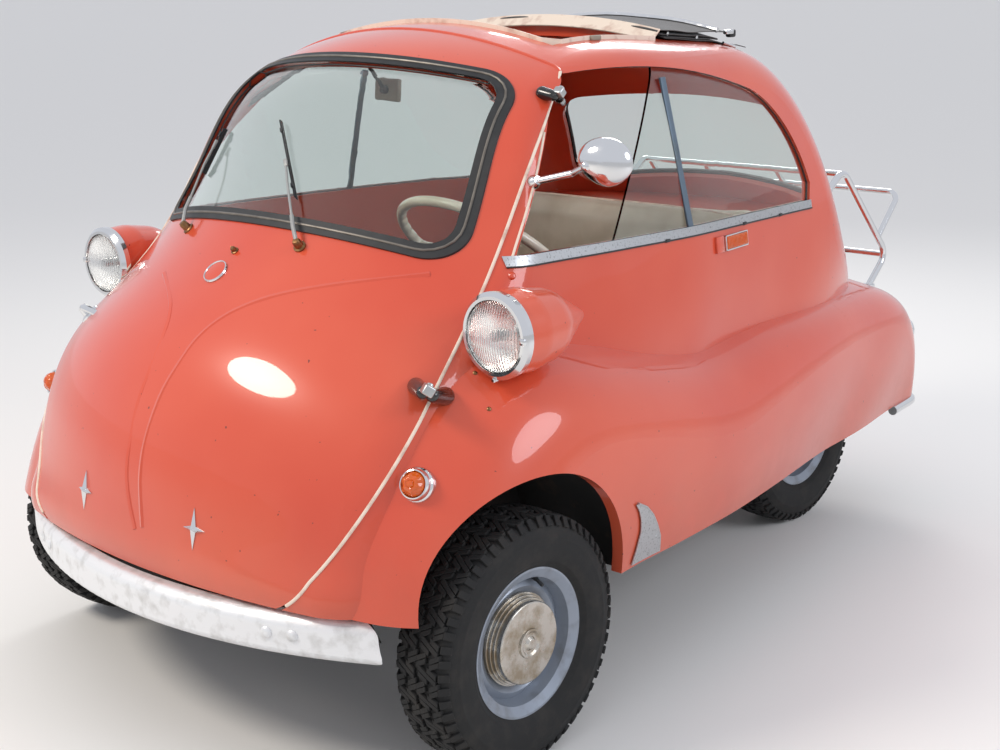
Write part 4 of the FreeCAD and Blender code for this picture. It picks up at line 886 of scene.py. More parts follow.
class BUBBLECAR_OT_lamps(bpy.types.Operator):
    """Glaze the headlamps, turn lamps, marker lamps and ring the tail lamps"""
    bl_idname = "bubblecar.lamps"
    bl_label = "Lamps"

    HEADLAMP = (595.0, -803.0, 820.5)
    TAIL_LAMP = (390.0, 1088.0, 470.0)
    # The catch of the lamp's ring, in millimetres, and its screw, from the lamp's middle
    TAB = (70.5, -4.5, 0)
    SCREW = Vector((-0.004, -0.001, -0.0815))
    MARKER = (40.0, 869.5)
    # Columns: place along, up and out on the flank, size, edge. The lens's middle lies 16 mm behind the foot's
    MARKER_FOOT = [((-52, 0, 2), (34, 36, 10), 3), ((0, 0, 0), (130, 34, 6), 2)]
    MARKER_RIM = [
        ((16, 15.5, 6), (100, 3, 9), 0.9), ((16, -15.5, 6), (100, 3, 9), 0.9),
        ((64.5, 0, 6), (3, 34, 9), 0.9), ((-32.5, 0, 6), (3, 34, 9), 0.9),
    ]
    MARKER_LENS = [((16, 0, 6), (94, 28, 12.5), 3)] + [
        ((16 + 6 * rib, 0, 12.2), (3.4, 24, 2.2), 0.9) for rib in range(-7, 8)]
    GLASS_RADIUS = 0.0652
    GLASS_RISE = 0.0166
    GLASS_EDGE = -0.004
    GLASS_THICK = 0.003
    FLUTE_DEPTH = 0.0006
    # Where the photograph shows the middle of a turn lamp's foot
    TURN_FOOT = (417, 485)

    def headlamp_glass(self, flute_step):
        """A domed glass pressed in upright flutes, on an even grid drawn round to a disc."""
        glass = bmesh.new()
        centre = at(*self.HEADLAMP)

        def dome(s, t):
            across, high = s * 2 - 1, t * 2 - 1
            x = across * math.sqrt(1 - high * high / 2) * self.GLASS_RADIUS
            z = high * math.sqrt(1 - across * across / 2) * self.GLASS_RADIUS
            share = math.hypot(x, z) / self.GLASS_RADIUS
            rise = self.GLASS_RISE * (1 - share * share) ** 0.9 if share < 1 else 0.0
            wave = math.cos(math.tau * x / flute_step) * self.FLUTE_DEPTH * min(1.0, (1 - share) * 8)
            return centre + Vector((x, self.GLASS_EDGE - rise + wave, z))

        laid(glass, 140, 36, dome, self.GLASS_THICK)
        mirror_across(glass)
        piece("headlamp_glass", glass, "root", "lamp_glass",
              stands_for=("headlamp_lenses",), angle=60, tidy=False)

    def turn_lamps(self):
        """Amber domes with six lobes, each proud of its own chrome collar on the wing."""
        dome, collar = blanks(2)
        centre, normal = seen(skin(*BODY_PANELS), *self.TURN_FOOT)
        out = (normal + Vector((0.1, -1.0, 0.25)).normalized()).normalized()
        turned(collar, "turn_lamp_collar", centre, out, 48)
        turned(dome, "turn_lamp_dome", centre, out, 72)
        first = out.orthogonal().normalized()
        second = out.cross(first)
        for vert in dome.verts:
            local = vert.co - centre
            depth = local.dot(out)
            flat = local - out * depth
            if depth < 0.016 or flat.length < 0.006:
                continue
            angle = math.atan2(flat.dot(second), flat.dot(first))
            vert.co -= flat * 0.14 * (0.5 - 0.5 * math.cos(6 * angle)) * min(1.0, (depth - 0.016) / 0.004)
        mirror_across(dome, collar)
        piece("turn_lamp_collars", collar, "root", "old_chrome")
        return dome

    def markers(self, amber):
        """A marker each side: painted foot, chrome frame and ribbed amber lens."""
        foot, rim = blanks(2)
        tree = skin("side_left")
        y, z = self.MARKER
        place, out = flank(tree, y, z)
        back = Vector((0, 1, 0))
        back = (back - out * back.dot(out)).normalized()
        face = stand(place, out, UP)
        along = 1 if (face.to_3x3() @ Vector((1, 0, 0))).dot(back) > 0 else -1
        bars(foot, face, self.MARKER_FOOT, hand=along)
        bars(rim, face, self.MARKER_RIM, hand=along)
        bars(amber, face, self.MARKER_LENS, hand=along)
        mirror_across(foot, rim)
        piece("marker_feet", foot, "root", "coral_enamel")
        piece("marker_rims", rim, "root", "old_chrome")

    def execute(self, context):
        self.headlamp_glass(context.scene.bubble_car_sizes.flutes)
        bowl, bulb, tabs, amber, rings = blanks(5)
        centre, ahead, back = at(*self.HEADLAMP), Vector((0, -1, 0)), Vector((0, 1, 0))
        turned(bowl, "headlamp_bowl", centre, back, 64)
        turned(bulb, "bulb_cap", centre, back, 28)
        bars(tabs, Matrix.Translation(centre), [(self.TAB, (12, 12, 12), 2)])
        turned(tabs, "lamp_screw", centre + self.SCREW, ahead, 16)
        mirror_across(bowl, bulb, tabs)
        piece("headlamp_bowls", bowl, "root", "lamp_silver")
        piece("headlamp_bulb_caps", bulb, "root", "weathered_aluminium")
        piece("headlamp_tabs", tabs, "root", "old_chrome")
        self.markers(amber)
        mirror_across(amber)
        absorb(amber, self.turn_lamps())
        piece("amber_lenses", amber, "root", "amber_plastic", stands_for=("amber_lamps",))
        turned(rings, "tail_lamp_ring", at(*self.TAIL_LAMP), back, 48)
        mirror_across(rings)
        piece("tail_lamp_rings", rings, "root", "old_chrome")
        return {"FINISHED"}


def laid(shape, across, along, place, thickness):
    """A plate whose grid is laid by a function of two shares, then given its thickness."""
    made = bmesh.ops.create_grid(shape, x_segments=across, y_segments=along, size=1.0)
    for vert in made["verts"]:
        vert.co = place((vert.co.x + 1) / 2, (vert.co.y + 1) / 2)
    faces = list({face for vert in made["verts"] for face in vert.link_faces})
    bmesh.ops.recalc_face_normals(shape, faces=faces)
    bmesh.ops.solidify(shape, geom=faces, thickness=thickness)


def capsule(shape, start, end, near, far, steps=28):
    """A round bar with domed ends, running from one radius to another."""
    run = end - start
    shares = [math.tau / 4 * step / 6 for step in range(7)]
    profile = [(-near * math.cos(share), near * math.sin(share)) for share in shares]
    profile += [(run.length + far * math.sin(share), far * math.cos(share)) for share in shares]
    turn(shape, profile, start, run, steps)


class BUBBLECAR_OT_hinges(bpy.types.Operator):
    """Build the two hinges: a black arm on the door, a black arm on the body and a zinc knuckle between"""
    bl_idname = "bubblecar.hinges"
    bl_label = "Hinges"

    # Columns: pin centre, pixel of the door's foot, pixel of the body's foot, scale of the fitting
    HINGES = [
        ((572, -958, 741), (416, 387), (445, 397), 1.0),
        ((468, -478, 1213), (542, 94), (561, 101), 0.85),
    ]
    # Radius of an arm by the pin, by the door and by the body, and how far its end's middle stands out
    THIN_END, DOOR_END, BODY_END, PROUD = 0.0125, 0.0158, 0.0172, 0.003
    BLOCK = (0.021, 0.019, 0.024)

    def execute(self, context):
        low, high = (at(*row[0]) for row in self.HINGES)
        pin_run = (high - low).normalized()
        body, door = skin(*BODY_PANELS), skin("door_shell")
        body_arms, door_arms, blocks = blanks(3)
        for centre, door_pixel, body_pixel, size in self.HINGES:
            pin = at(*centre)
            door_foot, door_out = seen(door, *door_pixel)
            body_foot, body_out = seen(body, *body_pixel)
            for arms, foot, out, share, end in (
                    (door_arms, door_foot, door_out, 0.3, self.DOOR_END),
                    (body_arms, body_foot, body_out, 0.35, self.BODY_END)):
                capsule(arms, pin.lerp(foot, share), foot + out * self.PROUD, self.THIN_END * size, end * size)
            across = (door_foot - pin).normalized()
            padded_bar(blocks, stand(pin + pin_run * 0.01, -across, pin_run),
                       [length * size for length in self.BLOCK], 0.003, 3)
            turned(blocks, "pin_head", pin + pin_run * 0.0195, pin_run, 18)
        piece("hinge_body_arms", body_arms, "root", "hinge_lacquer",
              stands_for=("hinge_body_leaves",))
        piece("hinge_door_arms", door_arms, "door", "hinge_lacquer",
              stands_for=("hinge_door_leaves",))
        piece("hinge_blocks", blocks, "door", "die_cast_zinc",
              stands_for=("hinge_door_leaves",))
        return {"FINISHED"}


class BUBBLECAR_OT_mirror(bpy.types.Operator):
    """Build the door mirror: flared arm, teardrop shell and its glass"""
    bl_idname = "bubblecar.mirror"
    bl_label = "Side mirror"

    ROOT = (480.0, -577.0, 1058.0)
    HEAD = (630.0, -540.0, 1104.0)
    ARM_END = (606.0, -560.0, 1098.0)
    LOOK = Vector((-0.32, 0.95, 0.0)).normalized()
    WIDEN = 1.2
    # Half the head's height, how much narrower its foot is, and how far the foot is drawn outwards
    HEAD_HALF, POINTED, DRAWN_OUT = 0.044, 0.22, 0.006
    ARM_THICK, ARM_THIN = 0.0068, 0.0062

    def execute(self, context):
        root, head = at(*self.ROOT), at(*self.HEAD)
        wide = self.LOOK.cross(UP).normalized()
        wide *= 1 if wide.x > 0 else -1
        shell, glass, arm = blanks(3)
        turned(shell, "mirror_shell", head, self.LOOK, 56)
        turned(glass, "mirror_glass", head, self.LOOK, 56)
        for shape in (shell, glass):
            for vert in shape.verts:
                local = vert.co - head
                # The head is wider than high, and its lower end is drawn to a point on the outer side
                share = local.dot(wide)
                low = max(0.0, -local.z / self.HEAD_HALF)
                local += wide * (share * (self.WIDEN * (1 - self.POINTED * low * low) - 1) + self.DRAWN_OUT * low)
                vert.co = head + local
        body = skin(*BODY_PANELS, "door_shell")
        run = (head - root).normalized()
        hit = body.ray_cast(head, -run)
        base = hit[0] if hit[0] else root
        out = hit[1] if hit[0] and hit[1].dot(run) > 0 else run
        turned(arm, "mirror_foot", base, out, 24)
        middle = base.lerp(head, 0.55) + Vector((0, 0, -0.004))
        bent_rod(arm, [base + out * 0.006, base.lerp(middle, 0.5) + Vector((0, -0.004, 0)), middle],
                 self.ARM_THICK, smooth=True, rings=3)
        end = at(*self.ARM_END)
        bent_rod(arm, [middle, middle.lerp(end, 0.5), end], self.ARM_THIN, smooth=True, rings=3)
        turned(arm, "mirror_ball", end, self.LOOK, 24)
        absorb(shell, arm)
        piece("mirror_shell", shell, "root", "old_chrome", stands_for=("mirror",), angle=50)
        piece("mirror_glass", glass, "root", "lamp_silver")
        return {"FINISHED"}


class BUBBLECAR_OT_tyres(bpy.types.Operator):
    """Build the four tyres with zigzag tread blocks, shoulder lugs and ribbed walls"""
    bl_idname = "bubblecar.tyres"
    bl_label = "Tyres"

    WHEELS = [
        ("tyre_tread_left", "wheel_front_left", [(600.0, -785.0)], ("tyre_front_left",)),
        ("tyre_tread_right", "wheel_front_right", [(-600.0, -785.0)], ("tyre_front_right",)),
        ("tyre_treads_rear", "rear_wheels", [(260.0, 715.0), (-260.0, 715.0)], ("rear_tyres",)),
    ]
    AXLE_HEIGHT = 245.0
    # Columns: along the axle, radius in millimetres of one half of the carcass, from its foot to the crown
    HALF = [
        (44, 128), (50, 140), (52, 147), (57, 152), (59.5, 156), (60.6, 157.4), (60.8, 160), (61, 160.5),
        (63.8, 171), (65.2, 180), (65.6, 190), (65.2, 198), (65.6, 200), (65.4, 203), (64.3, 205), (62.6, 214),
        (60, 221), (56, 228), (51, 233), (44, 235.6), (30, 237.3), (15, 238.2), (0, 238.5),
    ]
    OUTER = 244.8
    CROWN = 420.0
    # Columns: middle along the axle, width of each row of blocks
    ROWS = [(-37.5, 21.0), (-12.8, 21.5), (12.8, 21.5), (37.5, 21.0)]
    SKEW = 0.55
    STAGGER = 2.4
    GROOVE = 4.2
    # Each block is cut across by a sipe: middle and length of its halves, as shares of the block's length
    HALF_SHIFT, HALF_LENGTH = 0.26, 0.46
    # A shoulder lug's place across, its radius and its lean in radians; its width, share of a block and thickness
    LUG_PLACE = (0.0555, 0.2315, 0.95)
    LUG = (0.021, 0.62, 0.0062)
    # A valve's foot from the wheel's middle: outwards, back and up
    VALVE = (0.028, 0.045, 0.108)

    def tyre(self, shape, centre, depth, pitches):
        """A carcass with two halves of a tread pitch, spun round to all of them."""
        profile = [(x / 1000, r / 1000) for x, r in self.HALF]
        profile += [(-x, r) for x, r in reversed(profile[:-1])]
        turn(shape, profile, centre, Vector((1, 0, 0)), 96)
        step = math.tau / pitches
        tall = depth + 0.002
        length = step * self.OUTER / 1000 - self.GROOVE / 1000
        blocks = bmesh.new()
        for half in range(2):
            spin = Matrix.Rotation(step * half, 4, "X")
            sense = 1 if half else -1
            for row, (x, wide) in enumerate(self.ROWS):
                middle = (x + sense * self.STAGGER * (1 if row % 2 else -1)) / 1000
                radius = self.OUTER / 1000 - middle * middle / (2 * self.CROWN / 1000)
                tilt = Matrix.Rotation(middle / (self.CROWN / 1000), 4, "Y")
                skew = Matrix(((1, 0, 0, 0), (self.SKEW * sense, 1, 0, 0), (0, 0, 1, 0), (0, 0, 0, 1)))
                shift = Matrix.Translation((middle, 0, radius - tall / 2))
                for part in (-1, 1):
                    place = shift @ tilt @ skew @ Matrix.Translation((0, part * length * self.HALF_SHIFT, 0))
                    padded_bar(blocks, Matrix.Translation(centre) @ spin @ place,
                               (wide / 1000, length * self.HALF_LENGTH, tall), 0.0008, 1)
            for hand in (-1, 1):
                across, radius, lean_out = self.LUG_PLACE
                place = Matrix.Translation((hand * across, 0, radius)) @ Matrix.Rotation(hand * lean_out, 4, "Y")
                wide, share, thick = self.LUG
                padded_bar(blocks, Matrix.Translation(centre) @ spin @ place, (wide, length * share, thick), 0.001, 1)
        geom = blocks.verts[:] + blocks.edges[:] + blocks.faces[:]
        turns = pitches // 2
        bmesh.ops.spin(
            blocks, geom=geom, cent=centre, axis=Vector((1, 0, 0)), dvec=(0, 0, 0),
            angle=math.tau * (turns - 1) / turns, steps=turns - 1, use_duplicate=True)
        absorb(shape, blocks)

    def execute(self, context):
        sizes = context.scene.bubble_car_sizes
        pitches = sizes.tread_pitches // 2 * 2
        for name, body, centres, nodes in self.WHEELS:
            shape = bmesh.new()
            for x, y in centres:
                self.tyre(shape, at(x, y, self.AXLE_HEIGHT), sizes.tread_depth, pitches)
            piece(name, shape, body, "tyre_rubber", stands_for=nodes, angle=40)
        for name, body, centres, nodes in self.WHEELS[:2]:
            (x, y), = centres
            hand = math.copysign(1, x)
            valve = bmesh.new()
            outwards, back, up = self.VALVE
            foot = at(x, y, self.AXLE_HEIGHT) + Vector((hand * outwards, back, up))
            turned(valve, "valve", foot, Vector((hand, -0.2, -0.35)), 16)
            piece(f"valve_{body[6:]}", valve, body, "seal_rubber")
        return {"FINISHED"}


class BUBBLECAR_OT_seat(bpy.types.Operator):
    """Pad the bench seat and its back in cream vinyl, swelled by a cloth simulation, and pipe their edges"""
    bl_idname = "bubblecar.seat"
    bl_label = "Bench seat"

    # Columns: name, low corner, high corner of each pad in drawing millimetres
    PADS = [
        ("seat_cushion", (-440, -205, 421), (440, 295, 532)),
        ("seat_back", (-440, 241, 545), (440, 338, 922)),
    ]
    VOXEL = 0.011
    INSET = 0.012
    CAP = 0.022
    CORNER = 0.03
    FRAMES = 20
    PIPING = 0.0032
    PIPING_INSET = 0.034
    PIPING_BEND = 0.03
    PRESSURE = 4.0
    # How far the swelled top may stand over the drawn pad
    CROWNING = 0.008

    def pad(self, low, high):
        """A rounded block a little smaller than its pad, remeshed evenly."""
        shape = bmesh.new()
        low, high = at(*low), at(*high)
        size = high - low - Vector((2 * self.INSET,) * 3)
        padded_bar(shape, Matrix.Translation((low + high) / 2), tuple(size), self.CORNER - self.INSET / 2, 4)
        mesh = bpy.data.meshes.new("pad")
        shape.to_mesh(mesh)
        shape.free()
        made = bpy.data.objects.new("pad", mesh)
        bpy.context.scene.collection.objects.link(made)
        remesh = made.modifiers.new("remesh", "REMESH")
        remesh.mode = "VOXEL"
        remesh.voxel_size = self.VOXEL
        remesh.use_smooth_shade = True
        return made

    def freeze(self, made):
        """Replaces an object's mesh by what its modifiers make of it."""
        depsgraph = bpy.context.evaluated_depsgraph_get()
        mesh = bpy.data.meshes.new_from_object(made.evaluated_get(depsgraph))
        made.modifiers.clear()
        made.data = mesh

    def swell(self, made):
        """Blows the pad up by cloth pressure, and caps how far each point moves."""
        rest = [vert.co.copy() for vert in made.data.vertices]
        cloth = made.modifiers.new("cloth", "CLOTH")
        cloth.settings.use_pressure = True
        cloth.settings.uniform_pressure_force = self.PRESSURE
        cloth.settings.effector_weights.gravity = 0.0
        cloth.settings.quality = 4
        cloth.point_cache.frame_start = 1
        cloth.point_cache.frame_end = self.FRAMES
        scene = bpy.context.scene
        for frame_number in range(1, self.FRAMES + 1):
            scene.frame_set(frame_number)
        self.freeze(made)
        scene.frame_set(1)
        for vert, start in zip(made.data.vertices, rest):
            moved = vert.co - start
            if moved.length > self.CAP:
                vert.co = start + moved.normalized() * self.CAP

    def execute(self, context):
        for name, low, high in self.PADS:
            made = self.pad(low, high)
            self.freeze(made)
            self.swell(made)
            # Kept within the drawn pad, so that it stays clear of what it sits in
            lowest, highest = at(*low), at(*high)
            for vert in made.data.vertices:
                for axis in range(3):
                    vert.co[axis] = min(max(vert.co[axis], lowest[axis]), highest[axis] + self.CROWNING)
            shape = bmesh.new()
            shape.from_mesh(made.data)
            bpy.data.objects.remove(made)
            soft = piece(name, shape, "root", "cream_vinyl", stands_for=("bench_seat",),
                         angle=60)
            tree = BVHTree.FromPolygons([v.co for v in soft.data.vertices], [p.vertices for p in soft.data.polygons])
            self.pipe(name, tree, lowest, highest)
        return {"FINISHED"}

    def pipe(self, name, tree, low, high):
        """Piping round a pad: on the cushion's top, on the back's front."""
        flat = name == "seat_cushion"
        (near_x, near_y), (far_x, far_y) = ((corner.x, corner.y if flat else corner.z) for corner in (low, high))
        inset = self.PIPING_INSET
        near_x, near_y, far_x, far_y = near_x + inset, near_y + inset, far_x - inset, far_y - inset
        corners = [(near_x, near_y), (far_x, near_y), (far_x, far_y), (near_x, far_y)]
        line = []
        for x, other in rounded(corners, [None] * 4, self.PIPING_BEND):
            start = Vector((x, other, high.z + 0.1)) if flat else Vector((x, low.y - 0.1, other))
            line.append(tree.ray_cast(start, Vector((0, 0, -1)) if flat else Vector((0, 1, 0)))[0])
        shape = bmesh.new()
        bent_rod(shape, [place for place in line if place], self.PIPING, closed=True)
        piece(f"{name}_piping", shape, "root", "bead_vinyl")


class BUBBLECAR_OT_steering_wheel(bpy.types.Operator):
    """Build the ivory steering wheel with finger grips, two spokes and its horn boss"""
    bl_idname = "bubblecar.steering_wheel"
    bl_label = "Steering wheel"

    CENTRE = (190.0, -390.0, 868.0)
    FOOT = (190.0, -830.0, 348.0)
    RADIUS = 0.195
    TUBE = 0.011
    GRIP_DEPTH = 0.34
    # Columns: how deep a spoke's point lies below the wheel's middle, and how far out
    SPOKE = [(0.008, 0.02), (0.009, 0.1)]
    SPOKE_RADIUS = 0.0085

    def execute(self, context):
        grips = context.scene.bubble_car_sizes.wheel_scallops
        centre, foot = at(*self.CENTRE), at(*self.FOOT)
        run = (centre - foot).normalized()
        shape = bmesh.new()
        turns = [math.tau * step / 16 for step in range(17)]
        ring = [(self.TUBE * math.sin(t), self.RADIUS + self.TUBE * math.cos(t)) for t in turns]
        turn(shape, ring, centre, run, grips * 6)
        side = Vector((1, 0, 0))
        rise = run.cross(side)
        for vert in shape.verts:
            local = vert.co - centre
            flat = local - run * local.dot(run)
            inward = self.RADIUS - flat.length
            if inward <= 0:
                continue
            angle = math.atan2(flat.dot(rise), flat.dot(side))
            dip = self.GRIP_DEPTH * inward * (0.5 - 0.5 * math.cos(grips * angle))
            vert.co += flat.normalized() * dip
        for hand in (-1, 1):
            end = centre + side * hand * self.RADIUS
            spoke = [centre - run * sunk + side * hand * along for sunk, along in self.SPOKE]
            bent_rod(shape, [*spoke, end], self.SPOKE_RADIUS, smooth=True, rings=3)
        piece("steering_rim", shape, "steering_wheel", "ivory_bakelite",
              stands_for=("steering_wheel",), angle=60)
        boss = bmesh.new()
        turned(boss, "steering_boss", centre, run, 40)
        piece("steering_boss", boss, "steering_wheel", "seal_rubber")
        return {"FINISHED"}


class BUBBLECAR_OT_windows(bpy.types.Operator):
    """Trim the side and rear windows: sill strips, rubber channels, uprights and the front edge's bead"""
    bl_idname = "bubblecar.windows"
    bl_label = "Window trim"

    SILL_FRONT = (-676.0, 931.0)
    SILL_REAR = (444.0, 908.5)
    SILL_TALL = 19.0
    # How far under the window's edge the flank is felt twice, and the strip's top over the upper of the two
    SILL_PROBES = (6, 24, 9)
    SILL_PROUD = 0.0028
    SILL_RUBBER, EDGE_RUBBER, EDGE_BEAD, REAR_RUBBER = 0.0018, 0.0062, 0.0026, 0.0085
    EDGE_GROW, EDGE_SINK, REAR_GROW = -3.5, 0.011, 6.0
    # Lengths of the drawing at which a catch sits on the sill strip's lower edge
    NOTCHES = (-212.0, 108.0, 282.0)
    UPRIGHT = [(453, -120, 1229), (531, -118, 920)]
    # Columns: x, climb of the rear window's corners, and of its bowed edges' middles
    REAR_CORNERS = [(-400, 160), (400, 160), (360, 425), (-360, 425)]
    REAR_BOWS = [(0, 130), None, (0, 400), None]
    REAR_BEND = 70.0

    def sill(self, share, drop, tree):
        """A point of the strip, at a share of its length and its height."""
        y = self.SILL_FRONT[0] + (self.SILL_REAR[0] - self.SILL_FRONT[0]) * share
        edge = self.SILL_FRONT[1] + (self.SILL_REAR[1] - self.SILL_FRONT[1]) * share
        high, low, above = self.SILL_PROBES
        first, out = flank(tree, y, edge - high)
        slope = (first - flank(tree, y, edge - low)[0]) / (low - high)
        return first + slope * (above - drop * self.SILL_TALL) + out * self.SILL_PROUD

    def execute(self, context):
        tree = skin("side_left", "rear_panel", "roof_panel")
        strip, notches, rubber, front, upright, rear = blanks(6)
        laid(strip, 64, 3, lambda s, t: self.sill(s, t, tree), -0.0024)
        bent_rod(rubber, [self.sill(share / 40, 1.05, tree) for share in range(41)], self.SILL_RUBBER)
        length = self.SILL_REAR[0] - self.SILL_FRONT[0]
        for y in self.NOTCHES:
            place = self.sill((y - self.SILL_FRONT[0]) / length, 1.0, tree)
            bars(notches, stand(place, flank(tree, y, 900)[1], UP), [((0, 0, 0), (14, 7, 5), 1.2)])
        inward = Vector((-1, 0, 0))
        hits = [cast(tree, at(900, y, z), inward) for y, z in grown(window_edge(), self.EDGE_GROW)]
        rim = [hit[0] + inward * self.EDGE_SINK for hit in hits if hit and hit[0].x > 0.3]
        bent_rod(rubber, rim, self.EDGE_RUBBER, closed=True)
        run = [Vector(WINDOW_SILL_FRONT).lerp(Vector(WINDOW_FRONT_TOP), share / 18) for share in range(19)]
        hits = [cast(tree, at(900, y - 5, z + 2), inward) for y, z in run]
        bent_rod(front, [hit[0] + hit[1] * 0.0006 for hit in hits if hit and hit[0].x > 0.3], self.EDGE_BEAD)
        low, high = (at(*row) for row in reversed(self.UPRIGHT))
        along = (high - low).normalized()
        out = Vector((1, 0, 0.25)).normalized()
        face = stand((low + high) / 2 - out * 0.004, out, along)
        padded_bar(upright, face, (0.018, (high - low).length, 0.006), 0.0015)
        mirror_across(strip, notches, rubber, front, upright)
        piece("window_sill_strips", strip, "root", "weathered_aluminium")
        piece("window_sill_catches", notches, "root", "seal_rubber")
        piece("window_rubbers", rubber, "root", "seal_rubber")
        piece("window_front_beads", front, "root", "bead_vinyl")
        piece("window_uprights", upright, "root", "channel_grey")
        over = skin("rear_panel", "roof_panel", "tail_panel", "side_left", "side_right")
        line = []
        for x, climb in grown(rounded(self.REAR_CORNERS, self.REAR_BOWS, self.REAR_BEND), self.REAR_GROW):
            start = at(x, (1500 - climb) * ROOT_HALF, (climb + 1500) * ROOT_HALF)
            hit = cast(over, start, Vector((0, -1, -1)))
            if hit and hit[0].y > 0.3:
                line.append(hit[0])
        bent_rod(rear, line, self.REAR_RUBBER, closed=True)
        piece("rear_window_rubber", rear, "root", "seal_rubber")
        return {"FINISHED"}


class BUBBLECAR_OT_roof(bpy.types.Operator):
    """Fold the cloth roof behind its opening, with its bows and front rail, and edge the opening"""
    bl_idname = "bubblecar.roof"
    bl_label = "Folded cloth roof"

    HALF = 322.0
    # Columns: y, lift over the panel along the cloth, from its rear edge forwards, folded twice, to its front rail
    FOLDS = [
        (386, 2), (300, 2.5), (160, 3), (70, 3.5), (58, 5), (70, 7), (180, 8), (262, 9), (270, 11), (262, 13),
        (160, 12), (70, 11), (44, 12), (34, 16), (42, 21.5), (60, 22.5), (157, 20.5), (230, 25), (304, 31.5),
    ]
    # Columns: y, lift of the painted front bow's foot and head
    BOW_FOOT, BOW_HEAD = (14, 1.0), (42, 24.0)
    LIP_LOW, LIP_HIGH = -0.006, 0.009
    # Columns: share of the cloth's length at which a rail crosses it, and the rail's radius
    RAILS = [(0.33, 0.0042), (0.985, 0.0062), (0.62, 0.0042)]
    # Place, size and edge of a catch and of a latch, in millimetres
    CATCH = ((0, 0, 0), (12, 30, 11), 3)
    LATCH = ((0, 0, 0), (14, 26, 18), 4)
    OPENING_BEND, OPENING_GROW = 36.0, 4.0
    # How far forward the panel behind the opening still gives the height, and the roof's top
    REST = 44.0
    ROOF_TOP = 1345.0
    OPENING = [(-330.0, -330.0), (330.0, -330.0), (330.0, 40.0), (-330.0, 40.0)]

    def execute(self, context):
        panel = skin("roof_panel", "rear_panel")
        mesh = curve_mesh([(0.0, y, lift) for y, lift in self.FOLDS], smooth=True, fineness=8)
        path = [vert.co.copy() for vert in mesh.vertices]
        bpy.data.meshes.remove(mesh)
        count = len(path) - 1

        def over(x, y, lift):
            """A point at a height over the panel, bridging the opening level with its rear edge."""
            rest = max(y, self.REST)
            place = skin_top(panel, x, rest) or panel.find_nearest(at(x, rest, self.ROOF_TOP))[0]
            return Vector((x / 1000, at(0, y, 0).y, place.z + lift / 1000))

        def lay(share, along):
            x = (share * 2 - 1) * self.HALF
            spot = along * count
            first = min(int(spot), count - 1)
            place = path[first].lerp(path[first + 1], spot - first)
            ripple = 1.2 * math.sin(x * 0.031 + place.y * 0.04) * math.sin(along * 23)
            return over(x, place.y + 3 * math.sin(x * 0.017), place.z + ripple)

        cloth = bmesh.new()
        laid(cloth, 40, 150, lay, 0.0016)
        soft = piece("folded_cloth", cloth, "root", "roof_cloth",
                     stands_for=("folded_roof",), angle=60)
        bows = bmesh.new()
        for along, radius in self.RAILS:
            bent_rod(bows, [lay(step / 14, along) + Vector((0, 0, 0.003)) for step in range(15)], radius)
        for hand in (-1, 1):
            side = hand * (self.HALF + 3)
            bent_rod(bows, [over(side, 285, 5), over(side, 335, 5)], 0.0035)
            bars(bows, Matrix.Translation(over(side, 306, 33)), [self.CATCH])
        rails = piece("roof_bows", bows, "root", "old_chrome")
        latches = bmesh.new()
        for hand in (-1, 1):
            bars(latches, Matrix.Translation(over(hand * (self.HALF - 4), 326, 32)), [self.LATCH])
        holds = piece("roof_latches", latches, "root", "dial_black")
        bow = bmesh.new()

        def front_bow(share, along):
            (foot_y, foot), (head_y, head) = self.BOW_FOOT, self.BOW_HEAD
            return over((share * 2 - 1) * (self.HALF + 2), foot_y + (head_y - foot_y) * along,
                        foot + (head - foot) * along)

        laid(bow, 30, 2, front_bow, 0.003)
        white = piece("roof_front_bow", bow, "root", "bead_vinyl")
        edge = bmesh.new()
        outline = grown(rounded(self.OPENING, [None] * 4, self.OPENING_BEND), self.OPENING_GROW)
        line = [place for place in (skin_top(panel, x, y) for x, y in outline) if place]

        def lip(share, along):
            place = line[round(share * len(line)) % len(line)]
            return place + Vector((0, 0, self.LIP_LOW + (self.LIP_HIGH - self.LIP_LOW) * along))

        laid(edge, len(line), 2, lip, 0.0022)
        bmesh.ops.remove_doubles(edge, verts=edge.verts, dist=1e-5)
        piece("roof_opening_edge", edge, "root", "bead_vinyl")
        catches = bmesh.new()
        for hand in (-1, 1):
            place = skin_top(panel, hand * 336, -200) + Vector((0, 0, 0.004))
            bars(catches, Matrix.Translation(place), [self.CATCH])
        piece("roof_catches", catches, "root", "trim_card")
        return {"FINISHED"}


def skin_top(tree, x, y):
    """The highest surface over a point of the drawing."""
    start = at(x, y, 2000)
    return tree.ray_cast(start, Vector((0, 0, -1)))[0]


